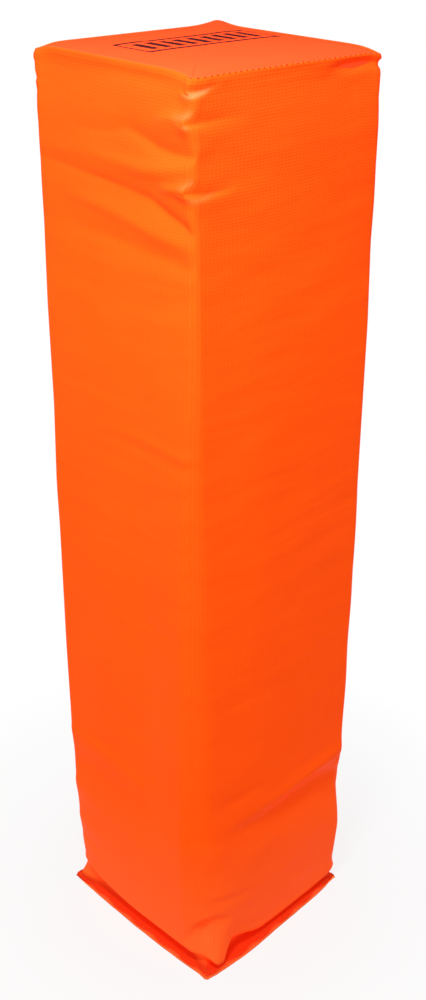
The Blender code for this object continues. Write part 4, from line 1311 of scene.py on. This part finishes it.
def printed_cloth(name):
    """The cloth with a mark on it. Seen from low down, gloss would hide the mark, so the top has none;
    instead a pinker, darker orange paints its sheen and its shade.
    """
    material, tree, shader, cloth, dye = coated_cloth(name, 0.0)
    # painted sheen and painted shade: the top's colour is mixed towards a pinker, darker orange
    dye = add(tree, "Mix", {0: TOP_SHEEN_AND_SHADE_SHARE, 6: dye, 7: linear(TOP_SHEEN_AND_SHADE)}, **MIX)
    middle = (MARK_CENTRE[0] * MM, MARK_CENTRE[1] * MM, 0.0)
    centred = add(tree, "VectorMath", (cloth, middle), operation="SUBTRACT")
    places = add(tree, "SeparateXYZ", (centred,)).node.outputs
    outline = add(tree, "Math", (box_mask(tree, places), box_mask(tree, places, MARK_LINES)),
                  operation="SUBTRACT")
    from_tick = add(tree, "Math", (places[0], TICK_PITCH / 2 * MM), operation="PINGPONG")
    tick = add(tree, "Math", (from_tick, TICK_WIDTH * MM), operation="LESS_THAN")
    ticks = add(tree, "Math", (tick, box_mask(tree, places, TICK_MARGINS)), operation="MULTIPLY")
    mark = add(tree, "Math", (outline, ticks), operation="MAXIMUM")
    # the ink has worn a little thin
    worn = add(tree, "TexNoise", {"Vector": cloth, "Scale": 900.0, "Detail": 3.0})
    cover = add(tree, "MapRange", (worn, 0.3, 0.45, 0.7, 0.98))
    mask = add(tree, "Math", (mark, cover), operation="MULTIPLY")
    fill(tree, shader, {
        "Base Color": add(tree, "Mix", {0: mask, 6: dye, 7: linear(INK)}, **MIX),
        "Emission Color": add(tree, "Mix", {0: mask, 6: linear(PAINTED_GLOW_DYE), 7: BLACK}, **MIX)})
    return material


top_cloth = printed_cloth("pvc_coated_polyester_printed")

# %% [markdown]
# ### Foam, cotton, sand and thread
#
# Open-cell polyurethane foam is a mesh of cut bubbles, so it is dull and full of pits, painted darker as
# painted shade in them. Cotton calico is a plain weave of undyed thread with small knots. Dry sand is grains
# of quartz of slightly different browns. Thread is two twisted plies, which show as fine slanting lines.

# %% Inner materials
FOAM_GREY, CALICO_CREAM, KNOT_BROWN, SAND_BROWN = "#9a9a9c", "#cfc6b4", "#b8a98c", "#b89f78"


def open_cell_foam():
    """Grey foam. Its cells are 0.6 mm wide, drawn at 1.5 mm so that they show."""
    material, tree, shader, place = new_material("open_cell_polyurethane_foam", FOAM_GREY, 0.95, 0.2)
    cells = add(tree, "TexVoronoi", {"Vector": place, "Scale": 1000 / 1.5})
    # painted shade: the pits of the cells are painted darker
    pit_shade = add(tree, "MapRange", (cells, 0.0, 0.6, 0.45, 1.0))
    fill(tree, shader, {
        "Base Color": add(tree, "Mix", {0: 1.0, 6: linear(FOAM_GREY), 7: pit_shade}, **MULTIPLY),
        "Normal": add(tree, "Bump", {"Strength": 0.7, "Distance": 0.6 * MM, "Height": cells})})
    return material


def cotton_calico():
    """Undyed cotton. Its threads are 0.4 mm, drawn at 0.8 mm so that they show."""
    material, tree, shader, place = new_material("undyed_cotton_calico", CALICO_CREAM, 0.9, 0.25)
    weave = woven(tree, place, (0.8, 0.8), {"Distortion": 1.5, "Detail": 2.0})
    shade = add(tree, "MapRange", (weave, 0.0, 1.0, 0.82, 1.04))
    colour = add(tree, "Mix", {0: 1.0, 6: linear(CALICO_CREAM), 7: shade}, **MULTIPLY)
    noise = add(tree, "TexNoise", {"Vector": place, "Scale": 160.0, "Detail": 3.0})
    knots = add(tree, "Math", (noise, 0.3), operation="MULTIPLY")
    fill(tree, shader, {
        "Base Color": add(tree, "Mix", {0: knots, 6: colour, 7: linear(KNOT_BROWN)}, **MIX),
        "Normal": add(tree, "Bump", {"Strength": 0.5, "Distance": 0.2 * MM, "Height": weave})})
    return material


def dry_sand():
    """Quartz sand. Its grains are 0.5 mm, drawn at 0.9 mm so that they show."""
    material, tree, shader, place = new_material("dry_quartz_sand", SAND_BROWN, 0.85, 0.3, 1.54)
    distance, tint = add(tree, "TexVoronoi", {"Vector": place, "Scale": 1000 / 0.9}).node.outputs[:2]
    bright = add(tree, "Mix", {0: 0.35, 6: linear(SAND_BROWN), 7: tint}, **MIX)
    quiet = add(tree, "HueSaturation", {"Saturation": 0.35, "Color": bright})
    fill(tree, shader, {
        "Base Color": add(tree, "Mix", {0: 0.55, 6: linear(SAND_BROWN), 7: quiet}, **MIX),
        "Normal": add(tree, "Bump", {"Strength": 0.8, "Distance": 0.4 * MM, "Height": distance},
                      invert=True)})
    return material


def twisted_thread(name, colour, sheen, painted_glow=0.0):
    """Sewing thread. Its plies twist round each other about every 0.5 mm."""
    material, tree, shader, place = new_material(name, colour, 0.55, 0.3)
    plies = add(tree, "TexWave", {"Vector": place, "Scale": wave_scale(0.5), "Distortion": 0.6}, "Fac",
                bands_direction="DIAGONAL")
    shade = add(tree, "MapRange", (plies, 0.0, 1.0, 0.7, 1.05))
    fill(tree, shader, {
        "Base Color": add(tree, "Mix", {0: 1.0, 6: linear(colour), 7: shade}, **MULTIPLY),
        "Normal": add(tree, "Bump", {"Strength": 0.5, "Distance": 0.1 * MM, "Height": plies}),
        "Sheen Weight": sheen, "Emission Color": linear(PAINTED_GLOW_DYE), "Emission Strength": painted_glow})
    return material


# the orange thread carries half of the cover's painted glow
cover_thread = twisted_thread("orange_polyester_thread", "#ff5a1e", 0.1, 0.5 * PAINTED_GLOW_STRENGTH)
bag_thread = twisted_thread("cotton_thread", "#cbbfa6", 0.3)
calico = cotton_calico()
for thing, material in ((wall_sheet, wall_cloth), (top_square, top_cloth), (bottom_square, wall_cloth),
                        (foam_block, open_cell_foam()), (sand_fill, dry_sand()), (bag_lower, calico),
                        (bag_upper, calico)):
    thing.data.materials.append(material)
print("materials:", sorted(m.name for m in bpy.data.materials if m.users))

# %% [markdown]
# ## Stitch the seams
#
# Polyester thread holds the cover and cotton thread the bag. Each seam takes the place of one plain tube of
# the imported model.

# %% Stitches on each seam
cover_stitches = stitch_tree("cover_stitches", cover_thread)
bag_stitches = stitch_tree("bag_stitches", bag_thread)
base_size, seam_size = (3.2, 2.9, THREAD_RADIUS), (3.0, 2.7, THREAD_RADIUS)
base_stitches = lay_stitches("base_seam_stitches", base_seam_line(), cover_stitches, base_size)
top_stitches = lay_stitches("top_seam_stitches", top_seam_line(), cover_stitches, seam_size)
side_stitches = lay_stitches("side_seam_stitches", side_seam_line(), cover_stitches, seam_size, closed=False)
margin_stitches = lay_stitches("bag_seam_stitches", bag_seam_line(), bag_stitches, seam_size)

# %% [markdown]
# ## Put each piece on the body
#
# Every piece rides on the one body and stands for the imported solid it covers, which is hidden.

# %% Ride and replace
PARTS = (
    (wall_sheet, "wall_wrap", "coated_cloth"), (top_square, "top_panel", "coated_cloth"),
    (bottom_square, "bottom_panel", "coated_cloth"), (foam_block, "foam_core", "foam"),
    (bag_lower, "ballast_bag_lower", "bag_cloth"), (bag_upper, "ballast_bag_upper", "bag_cloth"),
    (sand_fill, "ballast_sand", "sand"), (margin_stitches, "ballast_seam_thread", "bag_thread"),
    (base_stitches, "base_seam_thread", "cover_thread"), (top_stitches, "top_seam_thread", "cover_thread"),
    (side_stitches, "side_seam_thread", "cover_thread"),
)
for piece, node_name, slot_name in PARTS:
    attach(piece, "root")
    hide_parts(node_name)

# %% [markdown]
# ## The studio
#
# A small lamp stands close by, high on the left, so that the top of the pylon is brighter than its base, as
# in the photograph. A wide, weak one stands further left, and pale walls all round give the rest. The floor
# catches the soft shadow close to the base and fades to plain white further out.

# %% Floor
FLOOR_PAINT, FLOOR_BOUNCE = "#f8f8f8", "#a8a8a8"
FLOOR_HALF = 6000
# distances in metres between which the floor fades to plain white, and its share of white at each
FLOOR_FADE, WHITE_SHARES = (0.08, 0.22), (0.86, 1.0)


def looked_at(tree):
    """1 for what the camera sees, also by way of gloss or glass, and 0 for light on its way to the object."""
    rays = add(tree, "LightPath").node.outputs
    seen = rays["Is Camera Ray"]
    for name in ("Is Glossy Ray", "Is Transmission Ray"):
        seen = add(tree, "Math", (seen, rays[name]), operation="MAXIMUM")
    return seen


def studio_floor():
    """A painted floor that bounces less light than it shows, and fades to white away from the pylon."""
    corners = [(x * FLOOR_HALF, y * FLOOR_HALF, 0) for x, y in ((-1, -1), (1, -1), (1, 1), (-1, 1))]
    floor = mesh_object("floor", corners, faces=[(0, 1, 2, 3)])
    material, tree, shader, place = new_material("painted_studio_floor", FLOOR_PAINT, 0.9, 0.0)
    distance = add(tree, "VectorMath", (place,), "Value", operation="LENGTH")
    far = add(tree, "MapRange", (distance, *FLOOR_FADE, *WHITE_SHARES))
    seen = looked_at(tree)
    paint = add(tree, "Mix", {0: seen, 6: linear(FLOOR_BOUNCE), 7: linear(FLOOR_PAINT)}, **MIX)
    fill(tree, shader, {"Base Color": paint})
    white = add(tree, "Emission", {"Color": WHITE, "Strength": 1.0})
    share = add(tree, "Math", (seen, far), operation="MULTIPLY")
    mixed = add(tree, "MixShader", (share, shader.outputs["BSDF"], white))
    fill(tree, tree.nodes["Material Output"], {"Surface": mixed})
    floor.data.materials.append(material)


studio_floor()

# %% World and lamps
WORLD_FILL = 0.30
LAMP_AIM = Vector((0, 0, 0.40))
LAMPS = (("key", (-0.26, -0.17, 0.70), 1.85, 0.10), ("window", (-0.90, -0.05, 0.45), 0.6, 0.60))


def studio_world():
    """White to look at, and a softer fill for the light itself."""
    world = bpy.data.worlds.new("studio")
    bpy.context.scene.world = world
    world.use_nodes = True
    tree = world.node_tree
    strength = add(tree, "MapRange", (looked_at(tree), 0.0, 1.0, WORLD_FILL, 1.0))
    fill(tree, tree.nodes["Background"], {"Color": WHITE, "Strength": strength})


def soft_box(name, place, watts, size):
    """A square lamp that faces the upper part of the pylon."""
    lamp = put(name, bpy.data.lights.new(name, "AREA"))
    lamp.data.energy = watts
    lamp.data.size = size
    lamp.location = place
    lamp.rotation_euler = (Vector(place) - LAMP_AIM).to_track_quat("Z", "Y").to_euler()


for lamp in LAMPS:
    soft_box(*lamp)
studio_world()
bpy.context.scene.view_settings.view_transform = "Standard"
print("lamps:", [lamp[0] for lamp in LAMPS])
